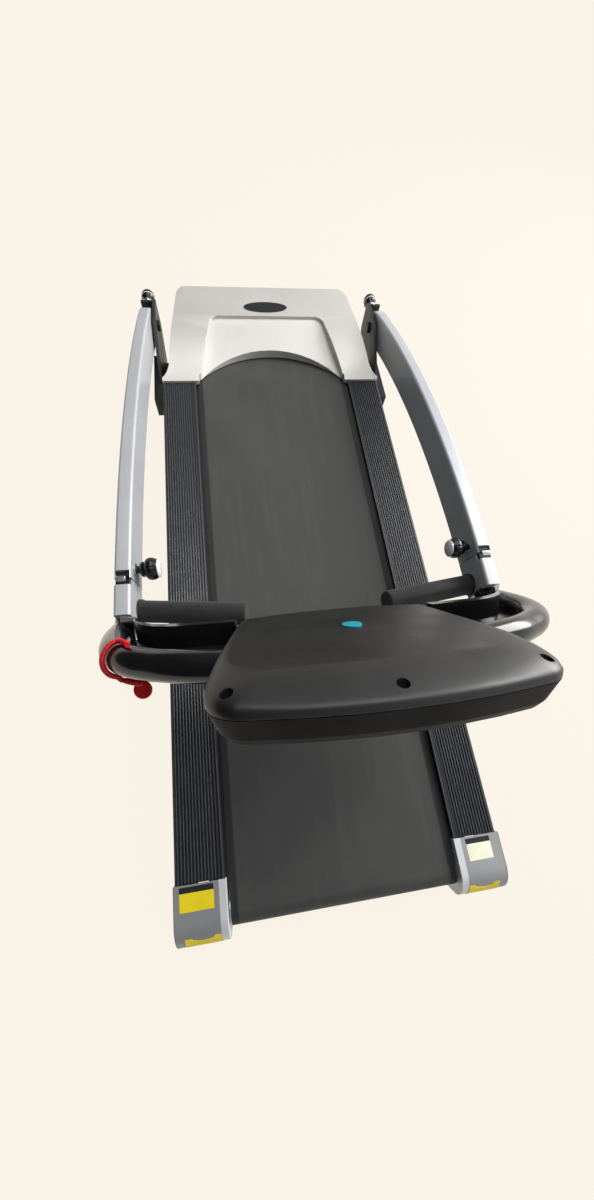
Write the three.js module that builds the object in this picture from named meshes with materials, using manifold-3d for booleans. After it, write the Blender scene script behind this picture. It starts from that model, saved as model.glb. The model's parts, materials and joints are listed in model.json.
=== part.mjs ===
// Folding home treadmill, stored with its uprights swung down over the deck.
// Millimetres, +Z up. The deck frame has X to the walker's right, +Y towards the motor,
// Y = 0 at the rear edge of the motor hood and Z = 0 on the floor.
import * as THREE from 'three';
import { mergeVertices } from 'three/addons/utils/BufferGeometryUtils.js';
import Module from 'manifold-3d';

const wasm = await Module();
wasm.setup();

// ---------------------------------------------------------------- driving dimensions

const GAP = 0.3; // clearance between pieces that touch or pass through each other
const BEARING_GAP = 0.6; // clearance of a piece that turns in its seat

// running belt and rollers
const BELT_WIDTH = 416;
const BELT_THICKNESS = 1.8;
const BELT_TOP = 124;
const ROLLER_RADIUS = 25;
const ROLLER_SIDE = 2; // how far the rollers reach past the belt on each side
const ROLLER_SHAFT_RADIUS = 6;
const REAR_ROLLER_Y = -1231;
const FRONT_ROLLER_Y = 125;

// deck board, side tubes and cross members
const DECK_THICKNESS = 15;
const DECK_OVERLAP = 21; // how far each board edge lies over its side tube
const DECK_END_GAP = 8; // from a roller's belt to the end of the board
const SIDE_TUBE_WIDTH = 25;
const SIDE_TUBE_HEIGHT = 45;
const SIDE_TUBE_WALL = 2;
const SIDE_TUBE_FROM_BELT = 12; // from the belt's edge to the inner side of a side tube
const SIDE_TUBE_PAST_ROLLER = 31;
const SIDE_TUBE_FRONT = 290;
const CROSS_MEMBER_WIDTH = 40;
const CROSS_MEMBER_LIFT = 6.4; // clearance over the lower run of the belt
const CROSSBAR_WIDTH = 50;
const CROSSBAR_HEIGHT = 25;
const CROSSBAR_Y = 145;

// foot rails
const RAIL_TOP = 132;
const RAIL_FROM_BELT = 5.6;
const RAIL_WIDTH = 86.4;
const RAIL_WALL = 4;
const RAIL_BOTTOM = 58;
const RAIL_GROOVES = 12;
const RAIL_GROOVE_PITCH = 5.8;
const RAIL_GROOVE_WIDTH = 2;
const RAIL_GROOVE_DEPTH = 1.3;
const RAIL_LIP_WIDTH = 3.6;
const RAIL_LIP_HEIGHT = 1.6;

// end caps
const CAP_LENGTH = 101;
const CAP_PAST_TUBE = 16; // how far the cap reaches past the end of its side tube
const CAP_WALL = 3;
const CAP_TOP = 136;
const CAP_BOTTOM = 42;
const CAP_NOSE_RADIUS = 46;
const CAP_OVERHANG = 2; // how far the cap stands out past the foot rail's side

// motor hood
const HOOD_LENGTH = 328;
const HOOD_WALL = 3.5;
const HOOD_TOP = 177;
const HOOD_REAR_TOP = 137;
const HOOD_BOTTOM = 66;
const HOOD_NECK_INSET = 24; // how far the hood's neck lies inside its flares
const HOOD_TAPER = 26; // how much each side narrows from the neck to the front
const HOOD_CORNER_RADIUS = 44;
const HOOD_FRONT_ROUND = 12; // rounding of the top's front edge
const HOOD_MOUTH_LAP = 5; // how far each end of the arched mouth laps over the belt
const HOOD_MOUTH_START = 12;
const HOOD_MOUTH_DEPTH = 103; // how far forward the middle of the arch reaches
const POCKET_FAR_Y = 198;
const POCKET_TAPER = 40; // how much each side of the pocket narrows from the mouth to its far end
const POCKET_FLOOR = 147; // height of the pocket floor at the middle of the arch
const POCKET_SLOPE = 0.24;
const POCKET_CORNER_RADIUS = 28;
const HOOD_BADGE_Y = 234;
const HOOD_BADGE_HALF_LENGTH = 62;
const HOOD_BADGE_HALF_WIDTH = 21;

// power inlet and switch in the hood's front face
const INLET_X = -150;
const SWITCH_X = -95;
const PANEL_Z = 112;
const PANEL_HALF_HEIGHT = 13;
const INLET_HALF = 24;
const SWITCH_HALF = 10;
const INLET_WELL_HALF = 12;
const INLET_WELL_HALF_HEIGHT = 8;
const INLET_WELL_DEPTH = 16;
const PANEL_DEPTH = 22;
const ROCKER_RADIUS = 10.4;
const ROCKER_HALF = 7;
const ROCKER_BEHIND_FACE = 7.6; // from the hood's front face to the rocker's axis

// drive
const MOTOR_Y = 235;
const MOTOR_OVER_ROLLER = 13.2; // height of the motor's shaft above the roller's
const MOTOR_RADIUS = 45;
const MOTOR_LENGTH = 190;
const MOTOR_PULLEY_RADIUS = 14;
const ROLLER_PULLEY_RADIUS = 32;
const PULLEY_WIDTH = 9;
const DRIVE_BELT_THICKNESS = 2;
const DRIVE_BELT_WIDTH = 8;
const PAN_THICKNESS = 3;
const PAN_FROM_MOTOR = 63;

// feet and transport wheels
const FOOT_RADIUS = 20;
const FOOT_HEIGHT = 16;
const FOOT_STUD_RADIUS = 6;
const REAR_FOOT_FROM_ROLLER = 26;
const FRONT_FOOT_INSET = 24; // from the end of the base crossbar to the foot
const WHEEL_RADIUS = 28;
const WHEEL_WIDTH = 22;
const WHEEL_Y = 282;
const WHEEL_LIFT = 2.5; // the wheels clear the floor until the deck is tipped
const WHEEL_AXLE_RADIUS = 5;

// uprights: curved box tubes that lie beside the deck when folded
const PIVOT_Y = 185;
const PIVOT_Z = 157;
const PIVOT_PIN_RADIUS = 8;
const ARM_FROM_BRACKET = 4;
const ARM_WIDTH = 28.5;
const ARM_DEPTH = 77;
const ARM_WALL = 2;
const ARM_ARC_RADIUS = 2545;
const ARM_APEX_Y = -508;
const ARM_APEX_Z = 255;
const ARM_SPLAY = 0.0169; // sideways run of the arm for each millimetre towards the console
const ARM_FLAT_STEP = 75; // length of each flat that stands for the curve

// elbows
const ELBOW_Y = -659;
const ELBOW_Z = 280;
const ELBOW_PIN_RADIUS = 8;
const ELBOW_NOTCH_DROP = 3; // depth of the notch's flat floor under the barrel's axis
const ELBOW_SOLID_HALF = 20; // half length of the solid tube wall round the barrel
const ELBOW_SEAM_RUN = 14; // how far the seam leans towards the motor over the arm's depth
const ELBOW_SEAM_GAP = 0.8;
const ELBOW_NOTCH_EASE = 5; // extra room on each side of the notch, so the head can fold right up
const UPPER_LENGTH = 69;

// pivot brackets
const BRACKET_FROM_RAIL = 4;
const BRACKET_THICKNESS = 8;
const BRACKET_BEAM_WIDTH = 23;
const BRACKET_BEAM_TOP = 112;
const BRACKET_BEAM_BOTTOM = 62;
const BRACKET_BEAM_FRONT_Y = 130;
const BRACKET_LEG_REAR_Y = 40; // where the plate steps down to the crossbar
const BRACKET_LEG_FRONT_Y = 200;
const BRACKET_NOSE_Z = 118;
const BRACKET_EYE_HEIGHT = 34; // plate above the pivot's axis
const CHEEK_BELOW_PIVOT = 27;
const CHEEK_ABOVE_PIVOT = 25;
const SHELF_REAR_Y = 45;
const SHELF_FRONT_Y = 112;
const SHELF_THICKNESS = 6;
const BRACKET_BEHIND_PIVOT = 222;
const BRACKET_PAST_PIVOT = 65;

// knobs
const KNOB_BALL_RADIUS = 18.5;
const KNOB_STEM_RADIUS = 5;
const BASE_KNOB_FROM_PIVOT = 118;
const ELBOW_KNOB_RADIUS = 21;
const ELBOW_KNOB_LENGTH = 46;
const ELBOW_KNOB_FROM_BARREL = 27;
const ELBOW_KNOB_DROP = 18;

// grips and handlebars
const GRIP_RADIUS = 21;
const GRIP_LENGTH = 203;
const GRIP_FROM_END = 27;
const GRIP_Z = 228;
const HANDLEBAR_RADIUS = 21.5;
const HANDLEBAR_SEATING = 30; // how far each tube reaches into the console

// console, in a frame of its own: x across, y up its back, z through to the display face
const CONSOLE_Y = -790;
const CONSOLE_Z = 381;
const CONSOLE_TILT = 124.4; // degrees about X
const CONSOLE_HALF = 184;
const CONSOLE_FOOT_INSET = 35; // how much narrower each side is at the console's foot
const CONSOLE_FOOT_Y = -10;
const CONSOLE_FOOT_BOW = 20;
const CONSOLE_SIDE_Y = 205;
const CONSOLE_TOP_Y = 274;
const CONSOLE_TOP_BOW = 16;
const CONSOLE_THICKNESS = 66;
const CONSOLE_SEAM_Z = 29;
const CONSOLE_BACK_ROUND = 18;
const CONSOLE_FACE_ROUND = 12;
const CONSOLE_DRAFT_Y = 100; // height on the back that the face half narrows towards
const CONSOLE_DRAFT_ACROSS = 0.06; // share of the width lost between the seam and the face
const CONSOLE_DRAFT_UP = 0.08;
const CONSOLE_WALL = 3;
const SCREW_WELL_RADIUS = 7;

// wings between the handlebars and the console
const WING_FLOOR_Z = 36;
const WING_FLOOR_THICKNESS = 5;
const WING_RIM_WIDTH = 15;

// console fittings
const LENS_WIDTH = 190;
const LENS_HEIGHT = 64;
const LENS_Y = 178;
const BUTTON_RADIUS = 12;
const BUTTON_HEIGHT = 11;
const BUTTON_PROUD = 3;
const BUTTON_Y = 70;
const BUTTON_SPACING = 110;
const BOARD_THICKNESS = 1.6;
const BADGE_THICKNESS = 1.5;

// lanyard
const LANYARD_RADIUS = 4;
const LANYARD_SLACK = 4; // a stretch of cord nearer than this to the handlebar lies on it
const CLIP_LENGTH = 26;
const CLIP_RADIUS = 4.5;
const KEY_RADIUS = 13;
const KEY_THICKNESS = 5;

// ---------------------------------------------------------------- derived places

const ROLLER_Z = BELT_TOP - BELT_THICKNESS - ROLLER_RADIUS;
const ROLLER_WIDTH = BELT_WIDTH + ROLLER_SIDE * 2;
const CROSS_MEMBER_BOTTOM = ROLLER_Z - ROLLER_RADIUS + CROSS_MEMBER_LIFT;
const MOTOR_Z = ROLLER_Z + MOTOR_OVER_ROLLER;
const PAN_REAR_Y = MOTOR_Y - PAN_FROM_MOTOR;
const SIDE_TUBE_INSIDE = BELT_WIDTH / 2 + SIDE_TUBE_FROM_BELT;
const SIDE_TUBE_REAR = REAR_ROLLER_Y - SIDE_TUBE_PAST_ROLLER;
const REAR_FOOT_Y = REAR_ROLLER_Y + REAR_FOOT_FROM_ROLLER;
const RAIL_INNER = BELT_WIDTH / 2 + RAIL_FROM_BELT;
const RAIL_OUTER = RAIL_INNER + RAIL_WIDTH;
const HOOD_NECK_HALF = RAIL_OUTER - HOOD_NECK_INSET;
const HOOD_FRONT_HALF = HOOD_NECK_HALF - HOOD_TAPER;
const HOOD_MOUTH_HALF = BELT_WIDTH / 2 - HOOD_MOUTH_LAP;
const POCKET_FAR_HALF = HOOD_MOUTH_HALF - POCKET_TAPER;
const BRACKET_INNER = RAIL_OUTER + BRACKET_FROM_RAIL;
const BRACKET_REAR_Y = PIVOT_Y - BRACKET_BEHIND_PIVOT;
const BRACKET_FRONT_Y = PIVOT_Y + BRACKET_PAST_PIVOT;
const FRONT_FOOT_X = BRACKET_INNER - FRONT_FOOT_INSET;
const ARM_INNER = BRACKET_INNER + BRACKET_THICKNESS + ARM_FROM_BRACKET;
const UPPER_END_Y = ELBOW_Y - UPPER_LENGTH;
const GRIP_Y = UPPER_END_Y + GRIP_FROM_END;
const BASE_KNOB_Y = PIVOT_Y + BASE_KNOB_FROM_PIVOT;
const ELBOW_KNOB_Y = ELBOW_Y + ELBOW_KNOB_FROM_BARREL;
const ELBOW_KNOB_Z = ELBOW_Z - ELBOW_KNOB_DROP;
const CONSOLE_FOOT_HALF = CONSOLE_HALF - CONSOLE_FOOT_INSET;
const BELT_OUTER_RADIUS = ROLLER_RADIUS + BELT_THICKNESS;
const DECK_TOP = BELT_TOP - BELT_THICKNESS - GAP;
const SIDE_TUBE_TOP = DECK_TOP - DECK_THICKNESS - GAP;
const SIDE_TUBE_BOTTOM = SIDE_TUBE_TOP - SIDE_TUBE_HEIGHT;
const SIDE_TUBE_OUTSIDE = SIDE_TUBE_INSIDE + SIDE_TUBE_WIDTH;
const SIDE_TUBE_MIDDLE = (SIDE_TUBE_INSIDE + SIDE_TUBE_OUTSIDE) / 2;
const DECK_FRONT = FRONT_ROLLER_Y - Math.max(BELT_OUTER_RADIUS, ROLLER_PULLEY_RADIUS + DRIVE_BELT_THICKNESS)
  - DECK_END_GAP;
const DECK_REAR = REAR_ROLLER_Y + BELT_OUTER_RADIUS + DECK_END_GAP;
const CROSSBAR_TOP = SIDE_TUBE_BOTTOM - GAP;
const CAP_REAR = SIDE_TUBE_REAR - CAP_PAST_TUBE;
const CAP_FRONT = CAP_REAR + CAP_LENGTH;
const CAP_INNER = BELT_WIDTH / 2 + 3.5;
const CAP_OUTER = RAIL_OUTER + CAP_OVERHANG;
const ARM_OUTER = ARM_INNER + ARM_WIDTH;
const ARM_MIDDLE = (ARM_INNER + ARM_OUTER) / 2;
const WHEEL_Z = WHEEL_RADIUS + WHEEL_LIFT;
const MOTOR_RIGHT = -SIDE_TUBE_INSIDE + PULLEY_WIDTH + 12 + MOTOR_LENGTH;
const PULLEY_LEFT = -SIDE_TUBE_INSIDE + 2;
const MOUTH_RISE = HOOD_MOUTH_DEPTH - HOOD_MOUTH_START;
const MOUTH_RADIUS = (HOOD_MOUTH_HALF ** 2 + MOUTH_RISE ** 2) / (2 * MOUTH_RISE);
const MOUTH_CENTRE_Y = HOOD_MOUTH_DEPTH - MOUTH_RADIUS;
const ARM_ARC_CENTRE_Z = ARM_APEX_Z - ARM_ARC_RADIUS;

/** Sideways shift of an upright at a given Y, from its splay. */
const splayAt = (y) => (PIVOT_Y - y) * ARM_SPLAY;

// ---------------------------------------------------------------- materials

const paint = (color, roughness, metalness = 0) =>
  new THREE.MeshStandardMaterial({ color, roughness, metalness });

const looks = {
  silverPaint: () => paint(0xb9bab8, 0.35, 0.4),
  hoodPaint: () => paint(0xc4c2bb, 0.4, 0.3),
  capPaint: () => paint(0x8d8f92, 0.45, 0.2),
  blackSteel: () => paint(0x17181a, 0.5, 0.3),
  blackPlastic: () => paint(0x1b1c1e, 0.5),
  glossBlack: () => paint(0x0e0e10, 0.2),
  ribbedPlastic: () => paint(0x2b2c31, 0.55),
  beltRubber: () => paint(0x3a3b3c, 0.8),
  board: () => paint(0x9c7b52, 0.8),
  foam: () => paint(0x161616, 0.9),
  steel: () => paint(0xa8abb0, 0.35, 0.9),
  chrome: () => paint(0xd8dade, 0.12, 1),
  rubber: () => paint(0x141414, 0.85),
  copper: () => paint(0x6d6f70, 0.5, 0.6),
  redPlastic: () => paint(0xc4171b, 0.4),
  greenPlastic: () => paint(0x1f9a4a, 0.4),
  tealBadge: () => paint(0x2fc3c9, 0.3),
  lens: () => paint(0x0a0d10, 0.1),
  circuitBoard: () => paint(0x1f5c35, 0.6),
};

// ---------------------------------------------------------------- shape helpers

/** A closed three.js geometry as a manifold solid. */
function solidOf(geometry) {
  const bare = geometry.index ? geometry.toNonIndexed() : geometry.clone();
  bare.deleteAttribute('normal');
  bare.deleteAttribute('uv');
  const merged = mergeVertices(bare, 1e-3);
  return new wasm.Manifold(new wasm.Mesh({
    numProp: 3,
    vertProperties: new Float32Array(merged.attributes.position.array),
    triVerts: new Uint32Array(merged.index.array),
  }));
}

/** A manifold solid as a three.js geometry. */
function geometryOf(solid) {
  const mesh = solid.getMesh();
  const geometry = new THREE.BufferGeometry();
  geometry.setAttribute('position', new THREE.BufferAttribute(mesh.vertProperties, 3));
  geometry.setIndex(new THREE.BufferAttribute(mesh.triVerts, 1));
  geometry.computeVertexNormals();
  return geometry;
}

const joined = (first, ...others) => others.reduce((sum, other) => sum.add(other), first);
const cut = (first, ...others) => others.reduce((rest, other) => rest.subtract(other), first);

/** The same solid on the other side of the YZ plane. */
const mirrored = (solid) => solid.mirror([1, 0, 0]);

function extruded(shape, depth, curveSegments) {
  return new THREE.ExtrudeGeometry(shape, { depth, bevelEnabled: false, curveSegments });
}

/** A shape drawn in X and Y, standing between two heights. */
function prismZ(shape, low, high, curveSegments = 12) {
  return solidOf(extruded(shape, high - low, curveSegments).translate(0, 0, low));
}

/** A shape drawn in Y and Z, running between two values of X. */
function prismX(shape, low, high, curveSegments = 12) {
  const turn = new THREE.Matrix4().makeBasis(
    new THREE.Vector3(0, 1, 0), new THREE.Vector3(0, 0, 1), new THREE.Vector3(1, 0, 0));
  return solidOf(extruded(shape, high - low, curveSegments).applyMatrix4(turn).translate(low, 0, 0));
}

/** A shape drawn in X and Z, running between two values of Y. */
function prismY(shape, low, high, curveSegments = 12) {
  return solidOf(extruded(shape, high - low, curveSegments).rotateX(Math.PI / 2).translate(0, high, 0));
}

function box(x0, x1, y0, y1, z0, z1) {
  const geometry = new THREE.BoxGeometry(x1 - x0, y1 - y0, z1 - z0);
  return solidOf(geometry.translate((x0 + x1) / 2, (y0 + y1) / 2, (z0 + z1) / 2));
}

/** A round bar along X, Y or Z, centred on the two other coordinates given in order. */
function rod(axis, radius, low, high, a, b, sides = 24) {
  const geometry = new THREE.CylinderGeometry(radius, radius, high - low, sides);
  const middle = (low + high) / 2;
  if (axis === 'x') geometry.rotateZ(-Math.PI / 2).translate(middle, a, b);
  if (axis === 'y') geometry.translate(a, middle, b);
  if (axis === 'z') geometry.rotateX(Math.PI / 2).translate(a, b, middle);
  return solidOf(geometry);
}

/** A turned piece: rows of [distance along the axis, radius], both ends on the axis. */
function turned(profile, sides = 24) {
  const points = profile.map(([along, radius]) => new THREE.Vector2(radius, along));
  return new THREE.LatheGeometry(points, sides);
}

/** A closed outline from a list of [a, b] corners. */
function outline(corners) {
  const shape = new THREE.Shape();
  shape.setFromPoints(corners.map(([a, b]) => new THREE.Vector2(a, b)));
  return shape;
}

function roundedRectangle(a0, a1, b0, b1, radius) {
  const shape = new THREE.Shape();
  shape.moveTo(a0 + radius, b0);
  shape.lineTo(a1 - radius, b0);
  shape.absarc(a1 - radius, b0 + radius, radius, -Math.PI / 2, 0);
  shape.lineTo(a1, b1 - radius);
  shape.absarc(a1 - radius, b1 - radius, radius, 0, Math.PI / 2);
  shape.lineTo(a0 + radius, b1);
  shape.absarc(a0 + radius, b1 - radius, radius, Math.PI / 2, Math.PI);
  shape.lineTo(a0, b0 + radius);
  shape.absarc(a0 + radius, b0 + radius, radius, Math.PI, Math.PI * 1.5);
  return shape;
}

/** A round tube along a curve. */
function tubeAlong(curve, radius, steps, sides) {
  const section = new THREE.Shape();
  section.absarc(0, 0, radius, 0, Math.PI * 2);
  const geometry = new THREE.ExtrudeGeometry(section, {
    steps, extrudePath: curve, bevelEnabled: false, curveSegments: sides,
  });
  return solidOf(geometry);
}

// ---------------------------------------------------------------- scene

const treadmill = new THREE.Group();

function addMesh(parent, name, geometry, material) {
  const mesh = new THREE.Mesh(geometry, material);
  mesh.name = name;
  parent.add(mesh);
  return mesh;
}

const addSolid = (parent, name, solid, material) => addMesh(parent, name, geometryOf(solid), material);

/** The right-hand piece and its mirror image on the left. */
function addPair(parent, name, solid, look) {
  addSolid(parent, `${name}_right`, solid, look());
  addSolid(parent, `${name}_left`, mirrored(solid), look());
}

// ---------------------------------------------------------------- belt, rollers and deck

function beltOutline(inset) {
  const radius = BELT_OUTER_RADIUS - inset;
  const path = new THREE.Path();
  path.moveTo(REAR_ROLLER_Y, ROLLER_Z - radius);
  path.lineTo(FRONT_ROLLER_Y, ROLLER_Z - radius);
  path.absarc(FRONT_ROLLER_Y, ROLLER_Z, radius, -Math.PI / 2, Math.PI / 2);
  path.lineTo(REAR_ROLLER_Y, ROLLER_Z + radius);
  path.absarc(REAR_ROLLER_Y, ROLLER_Z, radius, Math.PI / 2, Math.PI * 1.5);
  return path;
}

function buildBeltAndDeck() {
  const loop = new THREE.Shape(beltOutline(0).getPoints(10));
  loop.holes.push(new THREE.Path(beltOutline(BELT_THICKNESS - GAP / 3).getPoints(10)));
  addSolid(treadmill, 'running_belt', prismX(loop, -BELT_WIDTH / 2, BELT_WIDTH / 2), looks.beltRubber());

  const deckHalf = SIDE_TUBE_INSIDE + DECK_OVERLAP;
  const board = box(-deckHalf, deckHalf, DECK_REAR, DECK_FRONT, DECK_TOP - DECK_THICKNESS, DECK_TOP);
  addSolid(treadmill, 'deck_board', board, looks.board());
}

function rollerSolid(y, pulleyRadius) {
  const radius = ROLLER_RADIUS - GAP;
  const shaftEnd = SIDE_TUBE_OUTSIDE - SIDE_TUBE_WALL;
  let roller = rod('x', radius, -ROLLER_WIDTH / 2, ROLLER_WIDTH / 2, y, ROLLER_Z, 40);
  roller = joined(roller, rod('x', ROLLER_SHAFT_RADIUS, -shaftEnd, shaftEnd, y, ROLLER_Z, 16));
  if (pulleyRadius > 0) {
    roller = joined(roller, rod('x', pulleyRadius, PULLEY_LEFT, PULLEY_LEFT + PULLEY_WIDTH, y, ROLLER_Z, 36));
  }
  return roller;
}

/** The endless belt around two pulleys in the YZ plane, as an outline at a given offset. */
function pulleyWrap(offset) {
  const dy = MOTOR_Y - FRONT_ROLLER_Y;
  const dz = MOTOR_Z - ROLLER_Z;
  const heading = Math.atan2(dz, dy);
  const spread = Math.acos((ROLLER_PULLEY_RADIUS - MOTOR_PULLEY_RADIUS) / Math.hypot(dy, dz));
  const path = new THREE.Path();
  path.absarc(MOTOR_Y, MOTOR_Z, MOTOR_PULLEY_RADIUS + offset, heading - spread, heading + spread);
  path.absarc(FRONT_ROLLER_Y, ROLLER_Z, ROLLER_PULLEY_RADIUS + offset,
    heading + spread, heading - spread + Math.PI * 2);
  return path.getPoints(12);
}

function buildDrive() {
  addSolid(treadmill, 'rear_roller', rollerSolid(REAR_ROLLER_Y, 0), looks.steel());
  addSolid(treadmill, 'front_roller', rollerSolid(FRONT_ROLLER_Y, ROLLER_PULLEY_RADIUS), looks.steel());

  const wrap = new THREE.Shape(pulleyWrap(GAP + DRIVE_BELT_THICKNESS));
  wrap.holes.push(new THREE.Path(pulleyWrap(GAP)));
  const beltLeft = PULLEY_LEFT + (PULLEY_WIDTH - DRIVE_BELT_WIDTH) / 2;
  addSolid(treadmill, 'drive_belt', prismX(wrap, beltLeft, beltLeft + DRIVE_BELT_WIDTH), looks.rubber());

  const motorLeft = MOTOR_RIGHT - MOTOR_LENGTH;
  const panTop = SIDE_TUBE_BOTTOM + GAP + PAN_THICKNESS;
  const can = rod('x', MOTOR_RADIUS, motorLeft, MOTOR_RIGHT, MOTOR_Y, MOTOR_Z, 32);
  const saddle = box(motorLeft + 30, MOTOR_RIGHT - 30, MOTOR_Y - 38, MOTOR_Y + 38,
    panTop + GAP, MOTOR_Z - 20);
  const shaftBore = rod('x', ROLLER_SHAFT_RADIUS + BEARING_GAP, motorLeft - 1, motorLeft + 20,
    MOTOR_Y, MOTOR_Z, 16);
  addSolid(treadmill, 'motor', cut(joined(can, saddle), shaftBore), looks.blackSteel());

  const pulley = rod('x', MOTOR_PULLEY_RADIUS, PULLEY_LEFT, PULLEY_LEFT + PULLEY_WIDTH, MOTOR_Y, MOTOR_Z, 24);
  const shaft = rod('x', ROLLER_SHAFT_RADIUS, PULLEY_LEFT, motorLeft + 18, MOTOR_Y, MOTOR_Z, 16);
  addSolid(treadmill, 'motor_pulley', joined(pulley, shaft), looks.steel());

  const panHalf = SIDE_TUBE_INSIDE - GAP;
  const panFront = SIDE_TUBE_FRONT - 4;
  const floor = box(-panHalf, panHalf, PAN_REAR_Y, panFront, panTop - PAN_THICKNESS, panTop);
  const lip = box(-panHalf, panHalf, panFront - PAN_THICKNESS, panFront, panTop - 1, panTop + 22);
  addSolid(treadmill, 'motor_pan', joined(floor, lip), looks.blackSteel());

  const controller = box(60, 180, MOTOR_Y - 45, MOTOR_Y + 45, panTop + GAP, panTop + 46);
  addSolid(treadmill, 'motor_controller', controller, looks.blackPlastic());
}

// ---------------------------------------------------------------- frame

function buildFrame() {
  const tube = roundedRectangle(SIDE_TUBE_INSIDE, SIDE_TUBE_OUTSIDE, SIDE_TUBE_BOTTOM, SIDE_TUBE_TOP, 3);
  tube.holes.push(roundedRectangle(
    SIDE_TUBE_INSIDE + SIDE_TUBE_WALL, SIDE_TUBE_OUTSIDE - SIDE_TUBE_WALL,
    SIDE_TUBE_BOTTOM + SIDE_TUBE_WALL, SIDE_TUBE_TOP - SIDE_TUBE_WALL, 1));
  const bores = [REAR_ROLLER_Y, FRONT_ROLLER_Y].map((y) => rod(
    'x', ROLLER_SHAFT_RADIUS + BEARING_GAP, SIDE_TUBE_INSIDE - 1, SIDE_TUBE_OUTSIDE + 1, y, ROLLER_Z, 12));
  const sideTube = cut(prismY(tube, SIDE_TUBE_REAR, SIDE_TUBE_FRONT, 1), ...bores);
  addPair(treadmill, 'side_tube', sideTube, looks.blackSteel);

  const memberTop = DECK_TOP - DECK_THICKNESS - GAP;
  const memberHalf = SIDE_TUBE_INSIDE - GAP;
  const span = DECK_FRONT - DECK_REAR;
  [['rear', 0.25], ['front', 0.75]].forEach(([place, share]) => {
    const y = DECK_REAR + span * share;
    const member = box(-memberHalf, memberHalf, y - CROSS_MEMBER_WIDTH / 2, y + CROSS_MEMBER_WIDTH / 2,
      CROSS_MEMBER_BOTTOM, memberTop);
    addSolid(treadmill, `cross_member_${place}`, member, looks.blackSteel());
  });

  const barHalf = BRACKET_INNER - GAP;
  const bar = box(-barHalf, barHalf, CROSSBAR_Y - CROSSBAR_WIDTH / 2, CROSSBAR_Y + CROSSBAR_WIDTH / 2,
    CROSSBAR_TOP - CROSSBAR_HEIGHT, CROSSBAR_TOP);
  addSolid(treadmill, 'base_crossbar', bar, looks.blackSteel());
}

function footRailSection() {
  const step = RAIL_GROOVE_PITCH;
  const first = (RAIL_INNER + RAIL_OUTER - (RAIL_GROOVES - 1) * step) / 2 + 2;
  const corners = [
    [RAIL_INNER, RAIL_TOP - RAIL_WALL],
    [RAIL_INNER, RAIL_TOP + RAIL_LIP_HEIGHT],
    [RAIL_INNER + RAIL_LIP_WIDTH, RAIL_TOP + RAIL_LIP_HEIGHT],
    [RAIL_INNER + RAIL_LIP_WIDTH, RAIL_TOP],
  ];
  for (let groove = 0; groove < RAIL_GROOVES; groove += 1) {
    const x = first + groove * step;
    const half = RAIL_GROOVE_WIDTH / 2;
    corners.push([x - half, RAIL_TOP], [x - half, RAIL_TOP - RAIL_GROOVE_DEPTH]);
    corners.push([x + half, RAIL_TOP - RAIL_GROOVE_DEPTH], [x + half, RAIL_TOP]);
  }
  corners.push(
    [RAIL_OUTER - 4, RAIL_TOP], [RAIL_OUTER, RAIL_TOP - 4], [RAIL_OUTER, RAIL_BOTTOM],
    [RAIL_OUTER - RAIL_WALL, RAIL_BOTTOM], [RAIL_OUTER - RAIL_WALL, RAIL_TOP - RAIL_WALL],
  );
  return outline(corners.reverse());
}

function buildFootRails() {
  const rear = CAP_FRONT + GAP;
  const skin = prismY(footRailSection(), rear, -GAP);
  const deckEdge = SIDE_TUBE_INSIDE + DECK_OVERLAP;
  const seat = box(deckEdge - 8, deckEdge - 4, rear, -GAP, DECK_TOP + GAP, RAIL_TOP - RAIL_WALL + 1);
  const webTop = SIDE_TUBE_BOTTOM + 20;
  const web = box(SIDE_TUBE_OUTSIDE + GAP, RAIL_OUTER - 1, rear, -GAP, webTop - RAIL_WALL, webTop);
  addPair(treadmill, 'foot_rail', joined(skin, seat, web), looks.ribbedPlastic);
}

/** Side outline of an end cap: a flat top that rolls over to the rear face. */
function capOutline(inset) {
  const rear = CAP_REAR + inset;
  const top = CAP_TOP - inset;
  const radius = CAP_NOSE_RADIUS - inset;
  const bottom = CAP_BOTTOM - (inset > 0 ? 1 : 0);
  const front = CAP_FRONT + (inset > 0 ? 1 : 0);
  const shape = new THREE.Shape();
  shape.moveTo(rear + 10, bottom);
  shape.lineTo(front, bottom);
  shape.lineTo(front, top);
  shape.lineTo(rear + radius, top);
  shape.absarc(rear + radius, top - radius, radius, Math.PI / 2, Math.PI);
  return shape;
}

function buildEndCaps() {
  const shell = prismX(capOutline(0), CAP_INNER, CAP_OUTER, 8);
  const hollow = prismX(capOutline(CAP_WALL), CAP_INNER + CAP_WALL, CAP_OUTER - CAP_WALL, 8);
  const shaftSlot = box(CAP_INNER - 1, CAP_INNER + CAP_WALL + 1,
    REAR_ROLLER_Y - ROLLER_SHAFT_RADIUS - 2, REAR_ROLLER_Y + ROLLER_SHAFT_RADIUS + 2,
    CAP_BOTTOM - 1, ROLLER_Z + ROLLER_SHAFT_RADIUS + 2);
  const deckSlot = box(CAP_INNER - 1, CAP_INNER + CAP_WALL + 1, DECK_REAR - GAP, CAP_FRONT + 1,
    CAP_BOTTOM - 1, DECK_TOP + GAP);
  const saddle = box(SIDE_TUBE_INSIDE + 4, SIDE_TUBE_OUTSIDE - 4, DECK_REAR - 34, DECK_REAR - GAP,
    SIDE_TUBE_TOP + GAP, CAP_TOP - 1);
  addPair(treadmill, 'end_cap', joined(cut(shell, hollow, shaftSlot, deckSlot), saddle), looks.capPaint);
}

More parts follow.
